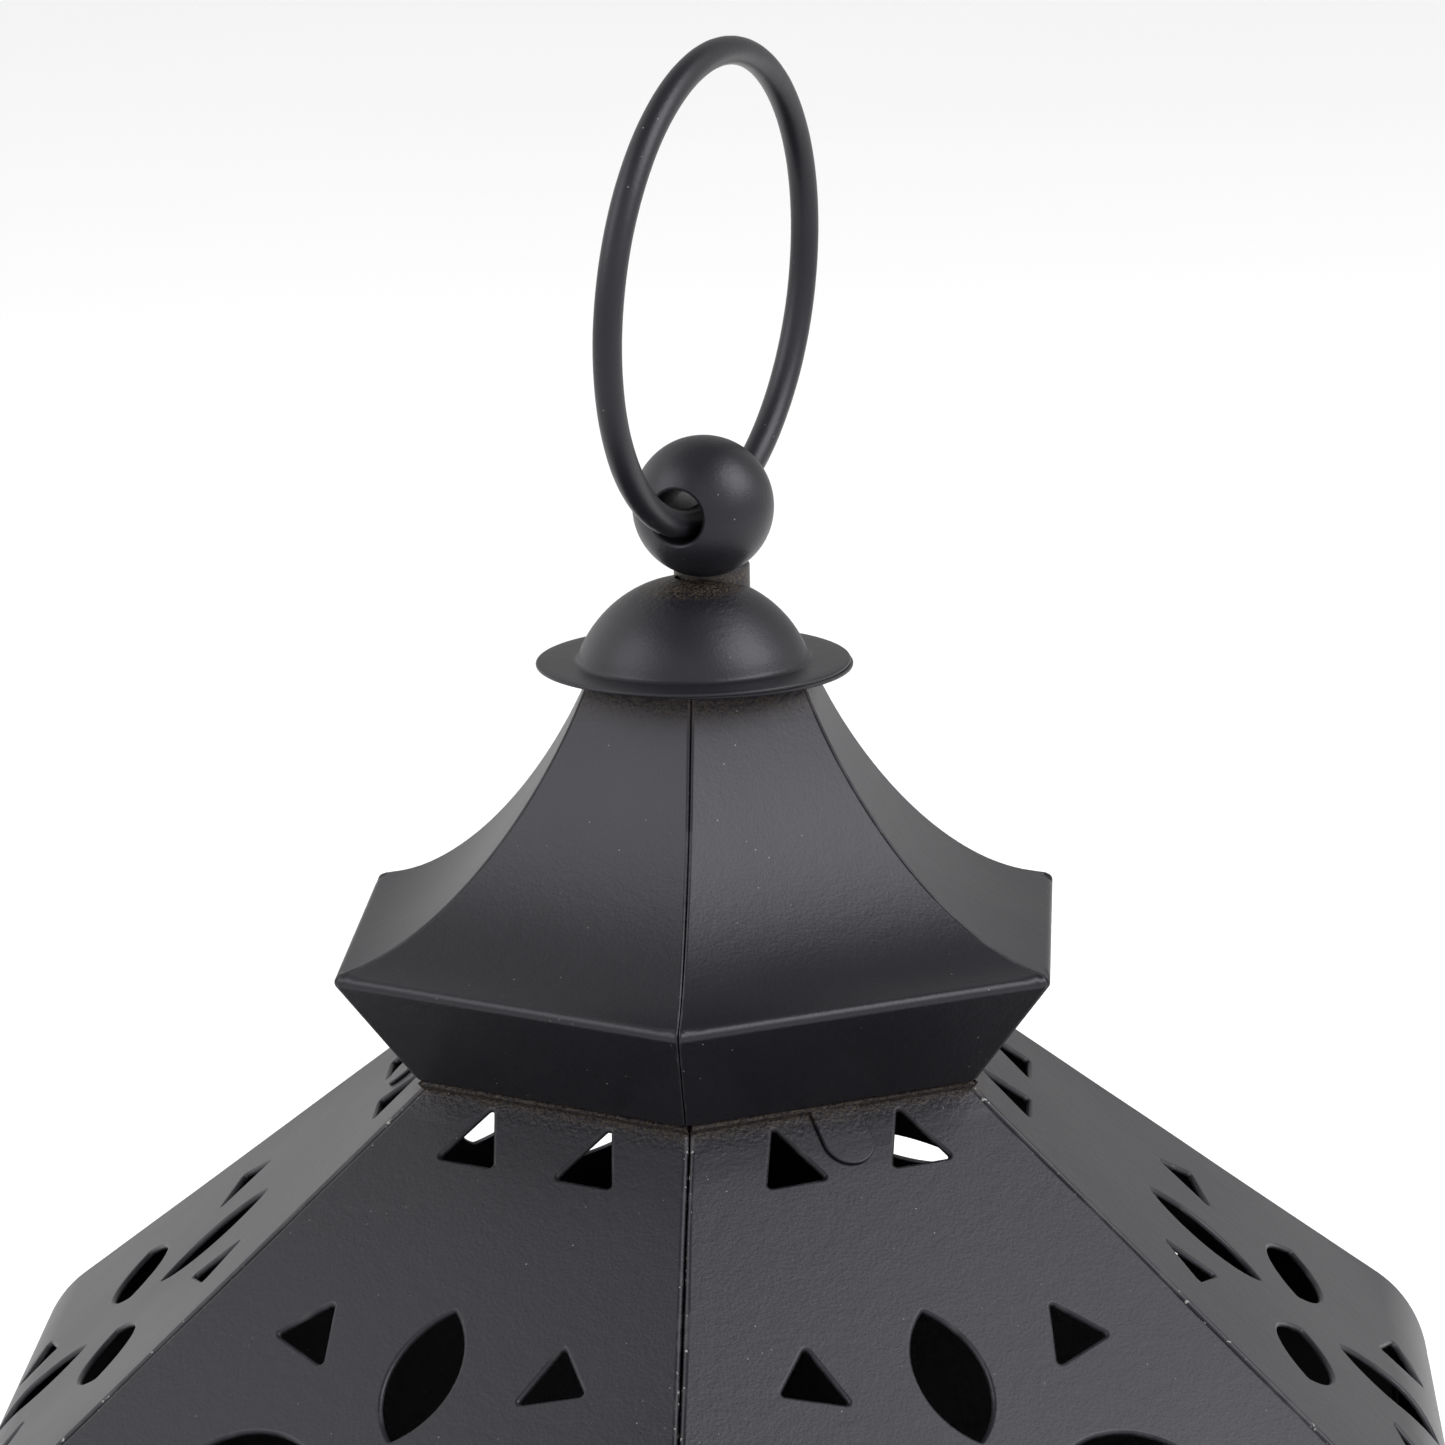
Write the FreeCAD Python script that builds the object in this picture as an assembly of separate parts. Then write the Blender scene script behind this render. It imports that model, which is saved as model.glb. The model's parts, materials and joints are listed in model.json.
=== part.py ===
import FreeCAD, Part

import math
import os

from FreeCAD import Matrix, Placement, Vector

# Candle lantern, in millimetres and degrees. +Z is up. The origin is the middle of
# the base, at the surface that the lantern stands on. The plan is a hexagon: panel 1
# faces -Y and holds the door, and the panels are numbered anticlockwise from above.
# A sheet's section is drawn at +X as (apothem, height), where the apothem is the
# distance from the lantern's axis to the middle of a flat side.

SIDES = 6
STEP = 360 / SIDES
HALF_STEP = STEP / 2
SHEET = 0.8

# Base
PLINTH_HEIGHT = 12.0
PLINTH_SHEET = 1.0
PLINTH_LEDGE_IN = 94.0
PLINTH_LEDGE_OUT = 112.0
PLINTH_FOOT = 119.0
PLINTH_HEM = 8.0
FLOOR_APOTHEM = 99.0
WALL_HEM = 8.0

# Body: vertical wall, bend over the shoulder, straight slope up to the cap
WALL_APOTHEM = 108.0
WALL_TOP = 142.0
BEND_RADIUS = 24.0
SLOPE = 41.0
RIM_ABOVE_WALL = 88.9
BODY_SEAM_DEPTH = 6.0

# Cap: hollow-curved roof, sharp rim, lip turned down and in
CAP_TOP_APOTHEM = 15.2
CAP_TOP_RISE = 37.6
CAP_HANDLE_HIGH = (20.9, 22.4)
CAP_HANDLE_LOW = (34.7, 2.2)
CAP_RIM_APOTHEM = 50.5
ROOF_ARCS = 4
LIP_APOTHEM = 39.3
LIP_DROP = 16.4
CAP_SEAM_DEPTH = 3.0
CAP_SEAT_GAP = 1.2
CAP_TURN = -0.66
COLLAR_SHEET = 0.9
COLLAR_TOP = -5.0
COLLAR_BOTTOM = 1.7
TAB_WIDTH = 7.6
TAB_END = 10.7
TAB_PANELS = (1, 3, 5)

# Punched pattern; distances down the slope start at the lip
SLOPE_START_APOTHEM = 37.5
FLOWER_DOWN_SLOPE = 63.4
FLOWER_ON_WALL = 73.0
LEAF_LENGTH = 21.0
LEAF_WIDTH = 10.3
LEAF_CENTRE = 18.1
DART = ((19.0, 26.4), (25.4, 20.0), (16.0, 16.6))
EAVE_DART_TIP = 2.5
EAVE_DART_BASE = 11.9
EAVE_DART_WIDTH = 9.2
EAVE_DART_ACROSS = 9.8
PUNCH_OUT = 3.0
PUNCH_IN = 4.0

# Finial and ring; heights are above the rim. The finial was fitted by hand, so the
# ball stands a little to one side of the dome.
BALL_RADIUS = 10.0
BALL_RISE = 60.9
BALL_HOLE = 3.8
BALL_HOLE_ROUND = 0.5
BALL_TURN = -51.7
FINIAL_SHIFT = Vector(0.9, -0.45, 0)
DOME_SHIFT = Vector(-0.7, 0.35, 0)
DOME_BASE_RADIUS = 16.0
DOME_TOP_RISE = 50.85
DOME_BULGE = 10.45
BRIM_RADIUS = 22.3
BRIM_RISE = 38.3
BRIM_SHEET = 0.6
BRIM_ROUND = 0.25
DISC_RADIUS = 20.8
DISC_SHIFT = Vector(1.1, -0.2, 0)
NECK_RADIUS = 5.4
NECK_SUNK = 8.0
NECK_TOP_RISE = 52.2
NECK_SHIFT = Vector(3.5, 2.3, 0)
STUD_RADIUS = 1.4
STUD_TOP_RISE = 56.4
NUT_ACROSS = 6.0
NUT_HEIGHT = 3.0
STUD_TAIL = 1.2
RING_RADIUS = 33.1
WIRE_RADIUS = 2.0
RING_REST_GAP = 0.06
RING_TILT = -3.65
RING_SLIDE = 1.2

# Door, hinges, knob and turn button
DOORWAY_HALF = 41.0
DOORWAY_LOW = 27.0
DOORWAY_HIGH = 119.0
DOOR_OVERLAP = 3.0
DOOR_CORNER = 3.0
DOOR_STANDOFF = 1.0
HINGE_X = 48.5
HINGE_OUT = 3.0
HINGE_LOWS = (36.0, 92.0)
HINGE_HEIGHT = 18.0
KNUCKLE_RADIUS = 2.2
KNUCKLE_GAP = 0.2
PIN_RADIUS = 1.0
PIN_CLEARANCE = 0.05
PIN_HEAD_RADIUS = 1.7
PIN_HEAD = 0.8
HINGE_SHEET = 1.0
WALL_LEAF = (51.2, 59.5)
DOOR_LEAF = (34.0, 45.8)
WALL_RIVET_X = 56.0
DOOR_RIVET_X = 38.0
HINGE_RIVET_INSET = 4.0
KNOB_X = -34.5
KNOB_RADIUS = 3.4
KNOB_STEM = 1.5
KNOB_WASHER = 3.0
KNOB_WASHER_THICK = 0.8
KNOB_REACH = 4.6
BUTTON_X = -53.0
BUTTON_HALF = 13.0
BUTTON_WIDTH = 7.0
BUTTON_THICK = 1.2
BUTTON_STANDOFF = 2.1
BUTTON_SPACER = 2.6
BUTTON_SHANK = 1.4

# Rivets
RIVET_SHANK = 1.4
RIVET_HEAD = 2.6
RIVET_DOME = 1.1
FLOOR_RIVET_APOTHEM = 96.0
WALL_RIVET_APOTHEM = 103.5
WALL_RIVET_ACROSS = 30.0

# Candle and its dish
DISH_RADIUS = 46.0
DISH_SHEET = 1.0
DISH_RIM = 7.0
SPIKE_RADIUS = 2.6
SPIKE_HEIGHT = 22.0
SPIKE_TIP = 0.3
SPIKE_CLEARANCE = 0.3
CANDLE_RADIUS = 35.0
CANDLE_HEIGHT = 90.0
CANDLE_LIFT_GAP = 0.05
WELL_RADIUS = 30.0
WELL_DEPTH = 3.0
WICK_RADIUS = 1.1
WICK_TOP = 10.0
WICK_SUNK = 8.0
CANDLE_ROUND = 2.0

RIM = WALL_TOP + RIM_ABOVE_WALL
FLOOR_TOP = PLINTH_HEIGHT + SHEET
OUT = Vector(0, -1, 0)

# Lengths of cutting tools: past everything, past half the cap, and past a sheet
REACH = 400.0
CAP_REACH = 100.0
PAST_SHEET = 5.0


def save(shape, node):
    shape.exportStep(os.path.join("parts", node + ".step"))


def turned(shape, angle):
    """A copy of the shape, turned about the lantern's axis."""
    copy = shape.copy()
    copy.rotate(Vector(0, 0, 0), Vector(0, 0, 1), angle)
    return copy


def on_side(shape, side):
    """A shape drawn at +X, moved to the numbered side."""
    return turned(shape, STEP * (side - 1) - 90)


def section_point(apothem, height):
    return Vector(apothem, 0, height)


def wire_through(points):
    edges = []
    for start, end in zip(points, points[1:]):
        edges.append(Part.LineSegment(start, end).toShape())
    return edges


def closed_face(points):
    return Part.Face(Part.Wire(wire_through(points + points[:1])))


def sheet_band(edges, depth):
    """A section's edges, thickened inwards and drawn out across the panel."""
    face = Part.Wire(edges).makeOffset2D(-depth, join=2, fill=True, openResult=True)
    face.translate(Vector(0, -REACH / 2, 0))
    return face.extrude(Vector(0, REACH, 0))


def wedge(inset):
    """The room between two hips, less an inset along each of them."""
    start = inset / math.sin(math.radians(HALF_STEP))
    half = (REACH - start) * math.tan(math.radians(HALF_STEP))
    corners = [Vector(start, 0, 0), Vector(REACH, -half, 0), Vector(REACH, half, 0)]
    face = closed_face(corners)
    face.translate(Vector(0, 0, -PAST_SHEET))
    return face.extrude(Vector(0, 0, REACH))


def seamed_panel(edges, seam_depth):
    """One bent sheet between two hips, with its side edges turned in as seams."""
    solid = sheet_band(edges, seam_depth).common(wedge(0))
    hollow = sheet_band(edges, seam_depth + SHEET).cut(sheet_band(edges, SHEET))
    return solid.cut(hollow.common(wedge(SHEET)))


# ---- sections -------------------------------------------------------------

def bend_centre():
    return section_point(WALL_APOTHEM - BEND_RADIUS, WALL_TOP)


def on_bend(elevation):
    angle = math.radians(elevation)
    spoke = section_point(math.cos(angle), math.sin(angle)) * BEND_RADIUS
    return bend_centre() + spoke


def slope_point(distance):
    """A point of the slope's outer face, at a distance down it from the lip."""
    angle = math.radians(SLOPE)
    top_of_bend = on_bend(90 - SLOPE)
    drop = (top_of_bend.x - SLOPE_START_APOTHEM) * math.tan(angle)
    start = section_point(SLOPE_START_APOTHEM, top_of_bend.z + drop)
    return start + slope_down() * distance


def slope_down():
    angle = math.radians(SLOPE)
    return Vector(math.cos(angle), 0, -math.sin(angle))


def slope_normal():
    angle = math.radians(SLOPE)
    return Vector(math.sin(angle), 0, math.cos(angle))


def body_edges():
    top_of_bend = on_bend(90 - SLOPE)
    arc = Part.Arc(top_of_bend, on_bend((90 - SLOPE) / 2), on_bend(0)).toShape()
    foot = section_point(WALL_APOTHEM, PLINTH_HEIGHT)
    hem = section_point(WALL_APOTHEM - WALL_HEM, PLINTH_HEIGHT)
    slope = wire_through([slope_point(COLLAR_TOP), top_of_bend])
    return slope + [arc] + wire_through([on_bend(0), foot, hem])


def roof_point(part):
    """A point of the roof's curve, from 0 at the top to 1 at the rim."""
    handles = (
        (CAP_TOP_APOTHEM, CAP_TOP_RISE), CAP_HANDLE_HIGH,
        CAP_HANDLE_LOW, (CAP_RIM_APOTHEM, 0))
    point = Vector(0, 0, RIM)
    for index, (apothem, rise) in enumerate(handles):
        weight = math.comb(3, index) * part ** index * (1 - part) ** (3 - index)
        point += section_point(apothem, rise) * weight
    return point


def cap_edges():
    """The roof in a few arcs, then the lip."""
    edges = []
    for index in range(ROOF_ARCS):
        points = [roof_point((index + share) / ROOF_ARCS) for share in (0, 0.5, 1)]
        edges.append(Part.Arc(*points).toShape())
    return edges + wire_through([roof_point(1), section_point(LIP_APOTHEM, RIM - LIP_DROP)])


# ---- punched pattern --------------------------------------------------------

def leaf(centre_x, centre_y, upright):
    """Two arcs that meet in two points."""
    half_length = LEAF_LENGTH / 2
    half_width = LEAF_WIDTH / 2
    along = Vector(0, 1, 0) if upright else Vector(1, 0, 0)
    across = Vector(1, 0, 0) if upright else Vector(0, 1, 0)
    centre = Vector(centre_x, centre_y, 0)
    tip = centre + along * half_length
    tail = centre - along * half_length
    one = Part.Arc(tip, centre + across * half_width, tail).toShape()
    other = Part.Arc(tail, centre - across * half_width, tip).toShape()
    return Part.Face(Part.Wire([one, other]))


def flower_faces():
    faces = []
    for sign in (-1, 1):
        faces.append(leaf(sign * LEAF_CENTRE, 0, False))
        faces.append(leaf(0, sign * LEAF_CENTRE, True))
        for other in (-1, 1):
            faces.append(closed_face([Vector(sign * x, other * y, 0) for x, y in DART]))
    return faces


def eave_faces():
    """Two small triangles under the cap, measured from the flower's middle."""
    faces = []
    tip = EAVE_DART_TIP - FLOWER_DOWN_SLOPE
    base = EAVE_DART_BASE - FLOWER_DOWN_SLOPE
    half = EAVE_DART_WIDTH / 2
    for sign in (-1, 1):
        middle = sign * EAVE_DART_ACROSS
        corners = [Vector(middle, tip, 0), Vector(middle - half, base, 0), Vector(middle + half, base, 0)]
        faces.append(closed_face(corners))
    return faces


def punches(faces, centre, down, normal):
    """Flat outlines, x across and y down the sheet, drawn through it at +X."""
    across = Vector(0, 1, 0)
    inward = normal * -1
    matrix = Matrix(
        across.x, down.x, inward.x, centre.x,
        across.y, down.y, inward.y, centre.y,
        across.z, down.z, inward.z, centre.z,
        0, 0, 0, 1)
    tools = []
    for face in faces:
        face.translate(Vector(0, 0, -PUNCH_OUT))
        tool = face.extrude(Vector(0, 0, PUNCH_OUT + PUNCH_IN))
        tool.Placement = Placement(matrix)
        tools.append(tool)
    return tools


def slope_punches():
    faces = flower_faces() + eave_faces()
    return punches(faces, slope_point(FLOWER_DOWN_SLOPE), slope_down(), slope_normal())


def wall_punches(apothem):
    centre = section_point(apothem, FLOWER_ON_WALL)
    return punches(flower_faces(), centre, Vector(0, 0, -1), Vector(1, 0, 0))


# ---- small parts --------------------------------------------------------------

def disc(radius, low, thickness):
    return Part.makeCylinder(radius, thickness, Vector(0, 0, low))


def rivet_dome():
    """A low dome on a flat seat at zero, rounded upwards."""
    radius = (RIVET_HEAD ** 2 + RIVET_DOME ** 2) / (2 * RIVET_DOME)
    ball = Part.makeSphere(radius, Vector(0, 0, RIVET_DOME - radius))
    return ball.common(disc(2 * RIVET_HEAD, 0, 2 * RIVET_DOME))


def rivet(grip):
    """A rivet along +Z, with its lower head's seat at zero and a dome on each end."""
    lower = rivet_dome().mirror(Vector(0, 0, 0), Vector(0, 0, 1))
    upper = rivet_dome()
    upper.translate(Vector(0, 0, grip))
    return disc(RIVET_SHANK, 0, grip).fuse([lower, upper])


def rivet_outwards(x, z, seat_y, grip):
    """A rivet through a sheet that faces -Y, seated on the sheet's inner face."""
    shape = rivet(grip)
    shape.rotate(Vector(0, 0, 0), Vector(1, 0, 0), 90)
    shape.translate(Vector(x, seat_y, z))
    return shape


def rod_outwards(x, z, start_y, radius, length):
    return Part.makeCylinder(radius, length, Vector(x, start_y, z), OUT)


def block(x_low, x_high, y_low, y_high, z_low, z_high):
    size = (x_high - x_low, y_high - y_low, z_high - z_low)
    return Part.makeBox(*size, Vector(x_low, y_low, z_low))


# ---- base -------------------------------------------------------------------

def floor_rivets():
    rivets = []
    for side in range(1, SIDES + 1):
        inner = rivet(PLINTH_SHEET + SHEET)
        inner.translate(Vector(FLOOR_RIVET_APOTHEM, 0, PLINTH_HEIGHT - PLINTH_SHEET))
        rivets.append(on_side(inner, side))
    return rivets


def foot_rivets():
    rivets = []
    for side in range(1, SIDES + 1):
        for sign in (-1, 1):
            shape = rivet(PLINTH_SHEET + SHEET)
            place = Vector(WALL_RIVET_APOTHEM, sign * WALL_RIVET_ACROSS, PLINTH_HEIGHT - PLINTH_SHEET)
            shape.translate(place)
            rivets.append(on_side(shape, side))
    return rivets


def hexagon(apothem, low, height):
    radius = apothem / math.cos(math.radians(HALF_STEP))
    corners = []
    for corner in range(SIDES):
        angle = math.radians(STEP * corner)
        corners.append(Vector(radius * math.cos(angle), radius * math.sin(angle), low))
    return closed_face(corners).extrude(Vector(0, 0, height))


def plinth(rivets):
    points = [
        section_point(PLINTH_LEDGE_IN, PLINTH_HEIGHT),
        section_point(PLINTH_LEDGE_OUT, PLINTH_HEIGHT),
        section_point(PLINTH_FOOT, 0),
        section_point(PLINTH_FOOT - PLINTH_HEM, 0),
    ]
    length = sheet_band(wire_through(points), PLINTH_SHEET).common(wedge(0))
    ring = on_side(length, 1)
    for side in range(2, SIDES + 1):
        ring = ring.fuse(on_side(length, side))
    return ring.removeSplitter().cut(rivets)


def dish():
    """A shallow spun pan with an upright rim."""
    low = FLOOR_TOP
    outer = disc(DISH_RADIUS, low, DISH_RIM)
    inner = disc(DISH_RADIUS - DISH_SHEET, low + DISH_SHEET, DISH_RIM)
    pan = outer.cut(inner)
    rolled = Part.makeTorus(DISH_RADIUS - DISH_SHEET / 2, DISH_SHEET, Vector(0, 0, low + DISH_RIM))
    return pan.fuse(rolled).removeSplitter()


def spike(growth):
    """The candle spike, whose riveted root goes through dish and floor."""
    base = FLOOR_TOP + DISH_SHEET
    height = SPIKE_HEIGHT + growth
    return Part.makeCone(SPIKE_RADIUS + growth, SPIKE_TIP + growth, height, Vector(0, 0, base))


def spike_root():
    top = FLOOR_TOP + DISH_SHEET
    root = disc(RIVET_SHANK, PLINTH_HEIGHT - RIVET_DOME, top - PLINTH_HEIGHT + RIVET_DOME)
    return root.fuse(disc(RIVET_HEAD, PLINTH_HEIGHT - RIVET_DOME, RIVET_DOME))


def candle():
    base = FLOOR_TOP + DISH_SHEET + CANDLE_LIFT_GAP
    wax = disc(CANDLE_RADIUS, base, CANDLE_HEIGHT)
    rims = [edge for edge in wax.Edges if edge.Closed]
    wax = wax.makeFillet(CANDLE_ROUND, rims)
    top = base + CANDLE_HEIGHT
    well = Part.makeCone(WELL_RADIUS - WELL_DEPTH, WELL_RADIUS, WELL_DEPTH, Vector(0, 0, top - WELL_DEPTH))
    return wax.cut([well, spike(SPIKE_CLEARANCE)])


def wick():
    top = FLOOR_TOP + DISH_SHEET + CANDLE_LIFT_GAP + CANDLE_HEIGHT - WELL_DEPTH
    return disc(WICK_RADIUS, top - WICK_SUNK, WICK_SUNK + WICK_TOP)


# ---- body and cap -------------------------------------------------------------

def body_panel():
    return seamed_panel(body_edges(), BODY_SEAM_DEPTH).cut(slope_punches())


def doorway():
    front = -WALL_APOTHEM - PAST_SHEET
    back = -WALL_APOTHEM + PAST_SHEET
    return block(-DOORWAY_HALF, DOORWAY_HALF, front, back, DOORWAY_LOW, DOORWAY_HIGH)


def shoulder_cutter():
    """Everything under the collar's seat, so that the cap's lip ends on the slope."""
    lift = slope_normal() * CAP_SEAT_GAP
    high = slope_point(-CAP_REACH / 2) + lift
    low = slope_point(CAP_REACH / 2) + lift
    corners = [high, low, section_point(low.x, RIM - CAP_REACH), section_point(high.x, RIM - CAP_REACH)]
    face = closed_face(corners)
    face.translate(Vector(0, -CAP_REACH, 0))
    return face.extrude(Vector(0, 2 * CAP_REACH, 0))


def cap_panel():
    return seamed_panel(cap_edges(), CAP_SEAM_DEPTH).cut(shoulder_cutter())


def collar_with_tabs():
    thick = slope_normal() * COLLAR_SHEET
    high = slope_point(COLLAR_TOP)
    low = slope_point(COLLAR_BOTTOM)
    face = closed_face([high, low, low + thick, high + thick])
    face.translate(Vector(0, -CAP_REACH, 0))
    strip = face.extrude(Vector(0, 2 * CAP_REACH, 0)).common(wedge(0))
    ring = on_side(strip, 1)
    for side in range(2, SIDES + 1):
        ring = ring.fuse(on_side(strip, side))
    for side in TAB_PANELS:
        ring = ring.fuse(on_side(tab(), side))
    return ring.removeSplitter()


def tab():
    """A round-ended tongue lying on the slope."""
    half = TAB_WIDTH / 2
    straight = TAB_END - half
    root = COLLAR_TOP + SHEET
    side_lines = wire_through([
        Vector(half, straight, 0), Vector(half, root, 0),
        Vector(-half, root, 0), Vector(-half, straight, 0)])
    end = Part.Arc(Vector(-half, straight, 0), Vector(0, TAB_END, 0), Vector(half, straight, 0)).toShape()
    face = Part.Face(Part.Wire(side_lines + [end]))
    tool = face.extrude(Vector(0, 0, -COLLAR_SHEET))
    down = slope_down()
    inward = slope_normal() * -1
    start = slope_point(0)
    tool.Placement = Placement(Matrix(
        0, down.x, inward.x, start.x,
        1, down.y, inward.y, start.y,
        0, down.z, inward.z, start.z,
        0, 0, 0, 1))
    return tool


# ---- finial and ring -----------------------------------------------------------

def ball_centre():
    return Vector(0, 0, RIM + BALL_RISE) + FINIAL_SHIFT


def ring_axis():
    """The way that the hole runs through the ball."""
    turn = math.radians(BALL_TURN)
    return Vector(math.sin(turn), -math.cos(turn), 0)


def stud():
    low = RIM + CAP_TOP_RISE - NUT_HEIGHT - STUD_TAIL
    shape = disc(STUD_RADIUS, low, RIM + STUD_TOP_RISE - low)
    shape.translate(FINIAL_SHIFT)
    return shape


def ball():
    centre = ball_centre()
    sphere = Part.makeSphere(BALL_RADIUS, centre)
    start = centre - ring_axis() * 2 * BALL_RADIUS
    hole = Part.makeCylinder(BALL_HOLE, 4 * BALL_RADIUS, start, ring_axis())
    drilled = sphere.cut(hole)
    mouths = [edge for edge in drilled.Edges if edge.Closed]
    return drilled.makeFillet(BALL_HOLE_ROUND, mouths).cut(stud())


def dome_sphere(inset):
    """The ball that the dome's skin is part of, or its inner face."""
    radius = (DOME_BASE_RADIUS ** 2 + DOME_BULGE ** 2) / (2 * DOME_BULGE)
    centre = Vector(0, 0, RIM + DOME_TOP_RISE - radius) + DOME_SHIFT
    return Part.makeSphere(radius - inset, centre)


def dome():
    seat = RIM + BRIM_RISE
    brim = disc(BRIM_RADIUS, seat, BRIM_SHEET)
    brim = brim.makeFillet(BRIM_ROUND, [edge for edge in brim.Edges if edge.Closed])
    brim.translate(DOME_SHIFT)
    above = block(-REACH, REACH, -REACH, REACH, seat, seat + REACH)
    shell = dome_sphere(0).common(above).cut(dome_sphere(BRIM_SHEET))
    mouth = dome_sphere(BRIM_SHEET).common(above)
    return brim.cut(mouth).fuse(shell).removeSplitter().cut(stud())


def neck():
    """A short tube, set back, so that the ball stands on its front half."""
    post = disc(NECK_RADIUS, RIM + NECK_TOP_RISE - NECK_SUNK, NECK_SUNK)
    post.translate(NECK_SHIFT)
    return post.cut([dome_sphere(0), Part.makeSphere(BALL_RADIUS, ball_centre()), stud()])


def closing_disc():
    plate = disc(DISC_RADIUS, RIM + CAP_TOP_RISE, BRIM_RISE - CAP_TOP_RISE)
    plate.translate(DISC_SHIFT)
    return plate.cut(stud())


def nut():
    shape = hexagon(NUT_ACROSS / 2, RIM + CAP_TOP_RISE - NUT_HEIGHT, NUT_HEIGHT)
    shape.translate(FINIAL_SHIFT)
    return shape.cut(stud())


def ring():
    """The wire rests on the bottom of the ball's hole, a little along it, and leans."""
    rise = RING_RADIUS - (BALL_HOLE - WIRE_RADIUS - RING_REST_GAP)
    centre = ball_centre()
    plane_normal = ring_axis().cross(Vector(0, 0, 1))
    shape = Part.makeTorus(RING_RADIUS, WIRE_RADIUS, centre + Vector(0, 0, rise), plane_normal)
    shape.translate(ring_axis() * RING_SLIDE)
    shape.rotate(centre, ring_axis(), RING_TILT)
    return shape


# ---- door ------------------------------------------------------------------------

DOOR_BACK = -WALL_APOTHEM - DOOR_STANDOFF
DOOR_FRONT = DOOR_BACK - SHEET
HINGE_Y = -WALL_APOTHEM - HINGE_OUT


def door_leaf(fixings):
    half = DOORWAY_HALF + DOOR_OVERLAP
    low = DOORWAY_LOW - DOOR_OVERLAP
    high = DOORWAY_HIGH + DOOR_OVERLAP
    sheet = block(-half, half, DOOR_FRONT, DOOR_BACK, low, high)
    corners = [edge for edge in sheet.Edges if edge.Length < 2 * SHEET]
    sheet = sheet.makeFillet(DOOR_CORNER, corners)
    holes = [on_side(tool, 1) for tool in wall_punches(WALL_APOTHEM + DOOR_STANDOFF)]
    return sheet.cut(holes + fixings)


def knuckle(low, high):
    length = high - low
    return Part.makeCylinder(KNUCKLE_RADIUS, length, Vector(HINGE_X, HINGE_Y, low))


def pin_bore():
    return Part.makeCylinder(PIN_RADIUS + PIN_CLEARANCE, REACH, Vector(HINGE_X, HINGE_Y, 0))


def hinge_thirds(low):
    third = HINGE_HEIGHT / 3
    return [low, low + third, low + 2 * third, low + HINGE_HEIGHT]


def wall_hinge_leaf(low, fixings):
    """A plate on the wall with an upper and a lower knuckle."""
    steps = hinge_thirds(low)
    back = -WALL_APOTHEM
    front = back - HINGE_SHEET
    shape = block(WALL_LEAF[0], WALL_LEAF[1], front, back, steps[0], steps[3])
    for start, end in ((steps[0], steps[1] - KNUCKLE_GAP), (steps[2] + KNUCKLE_GAP, steps[3])):
        shape = shape.fuse(block(HINGE_X, WALL_LEAF[0] + HINGE_SHEET, front, back, start, end))
        shape = shape.fuse(knuckle(start, end))
    return shape.removeSplitter().cut([pin_bore()] + fixings)


def door_hinge_leaf(low, fixings):
    """A plate on the door with the middle knuckle."""
    steps = hinge_thirds(low)
    front = DOOR_FRONT - HINGE_SHEET
    shape = block(DOOR_LEAF[0], DOOR_LEAF[1], front, DOOR_FRONT, steps[0], steps[3])
    shape = shape.fuse(block(DOOR_LEAF[1] - HINGE_SHEET, HINGE_X, front, DOOR_FRONT, steps[1], steps[2]))
    shape = shape.fuse(knuckle(steps[1], steps[2]))
    return shape.removeSplitter().cut([pin_bore()] + fixings)


def hinge_pins():
    pins = []
    for low in HINGE_LOWS:
        pin = Part.makeCylinder(PIN_RADIUS, HINGE_HEIGHT, Vector(HINGE_X, HINGE_Y, low))
        for start in (low - PIN_HEAD, low + HINGE_HEIGHT):
            pin = pin.fuse(Part.makeCylinder(PIN_HEAD_RADIUS, PIN_HEAD, Vector(HINGE_X, HINGE_Y, start)))
        pins.append(pin.removeSplitter())
    return pins


def hinge_rivets(x, seat_y):
    rivets = []
    for low in HINGE_LOWS:
        for z in (low + HINGE_RIVET_INSET, low + HINGE_HEIGHT - HINGE_RIVET_INSET):
            rivets.append(rivet_outwards(x, z, seat_y, SHEET + HINGE_SHEET))
    return rivets


def knob():
    """Washer, stem and round grip, riveted over behind the door."""
    z = FLOWER_ON_WALL
    tail = rod_outwards(KNOB_X, z, DOOR_BACK + RIVET_DOME, KNOB_WASHER, RIVET_DOME)
    stem = rod_outwards(KNOB_X, z, DOOR_BACK, KNOB_STEM, SHEET + KNOB_REACH)
    washer = rod_outwards(KNOB_X, z, DOOR_FRONT, KNOB_WASHER, KNOB_WASHER_THICK)
    grip = Part.makeSphere(KNOB_RADIUS, Vector(KNOB_X, DOOR_FRONT - KNOB_REACH, z))
    return tail.fuse([stem, washer, grip]).removeSplitter()


def turn_button():
    """A round-ended bar, upright when it lets the door go."""
    half = BUTTON_WIDTH / 2
    straight = BUTTON_HALF - half
    back = -WALL_APOTHEM - BUTTON_STANDOFF
    sides = wire_through([Vector(half, back, straight), Vector(half, back, -straight)])
    sides += wire_through([Vector(-half, back, -straight), Vector(-half, back, straight)])
    arcs = []
    for sign in (-1, 1):
        points = [Vector(sign * half, back, sign * straight), Vector(0, back, sign * BUTTON_HALF)]
        points.append(Vector(-sign * half, back, sign * straight))
        arcs.append(Part.Arc(*points).toShape())
    outline = Part.Wire([sides[0], arcs[0], sides[1], arcs[1]])
    bar = Part.Face(outline).extrude(OUT * BUTTON_THICK)
    bar.translate(Vector(BUTTON_X, 0, FLOWER_ON_WALL))
    bore = BUTTON_SHANK + PIN_CLEARANCE
    hole = rod_outwards(BUTTON_X, FLOWER_ON_WALL, back + BUTTON_THICK, bore, 3 * BUTTON_THICK)
    return bar.cut(hole)


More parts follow.
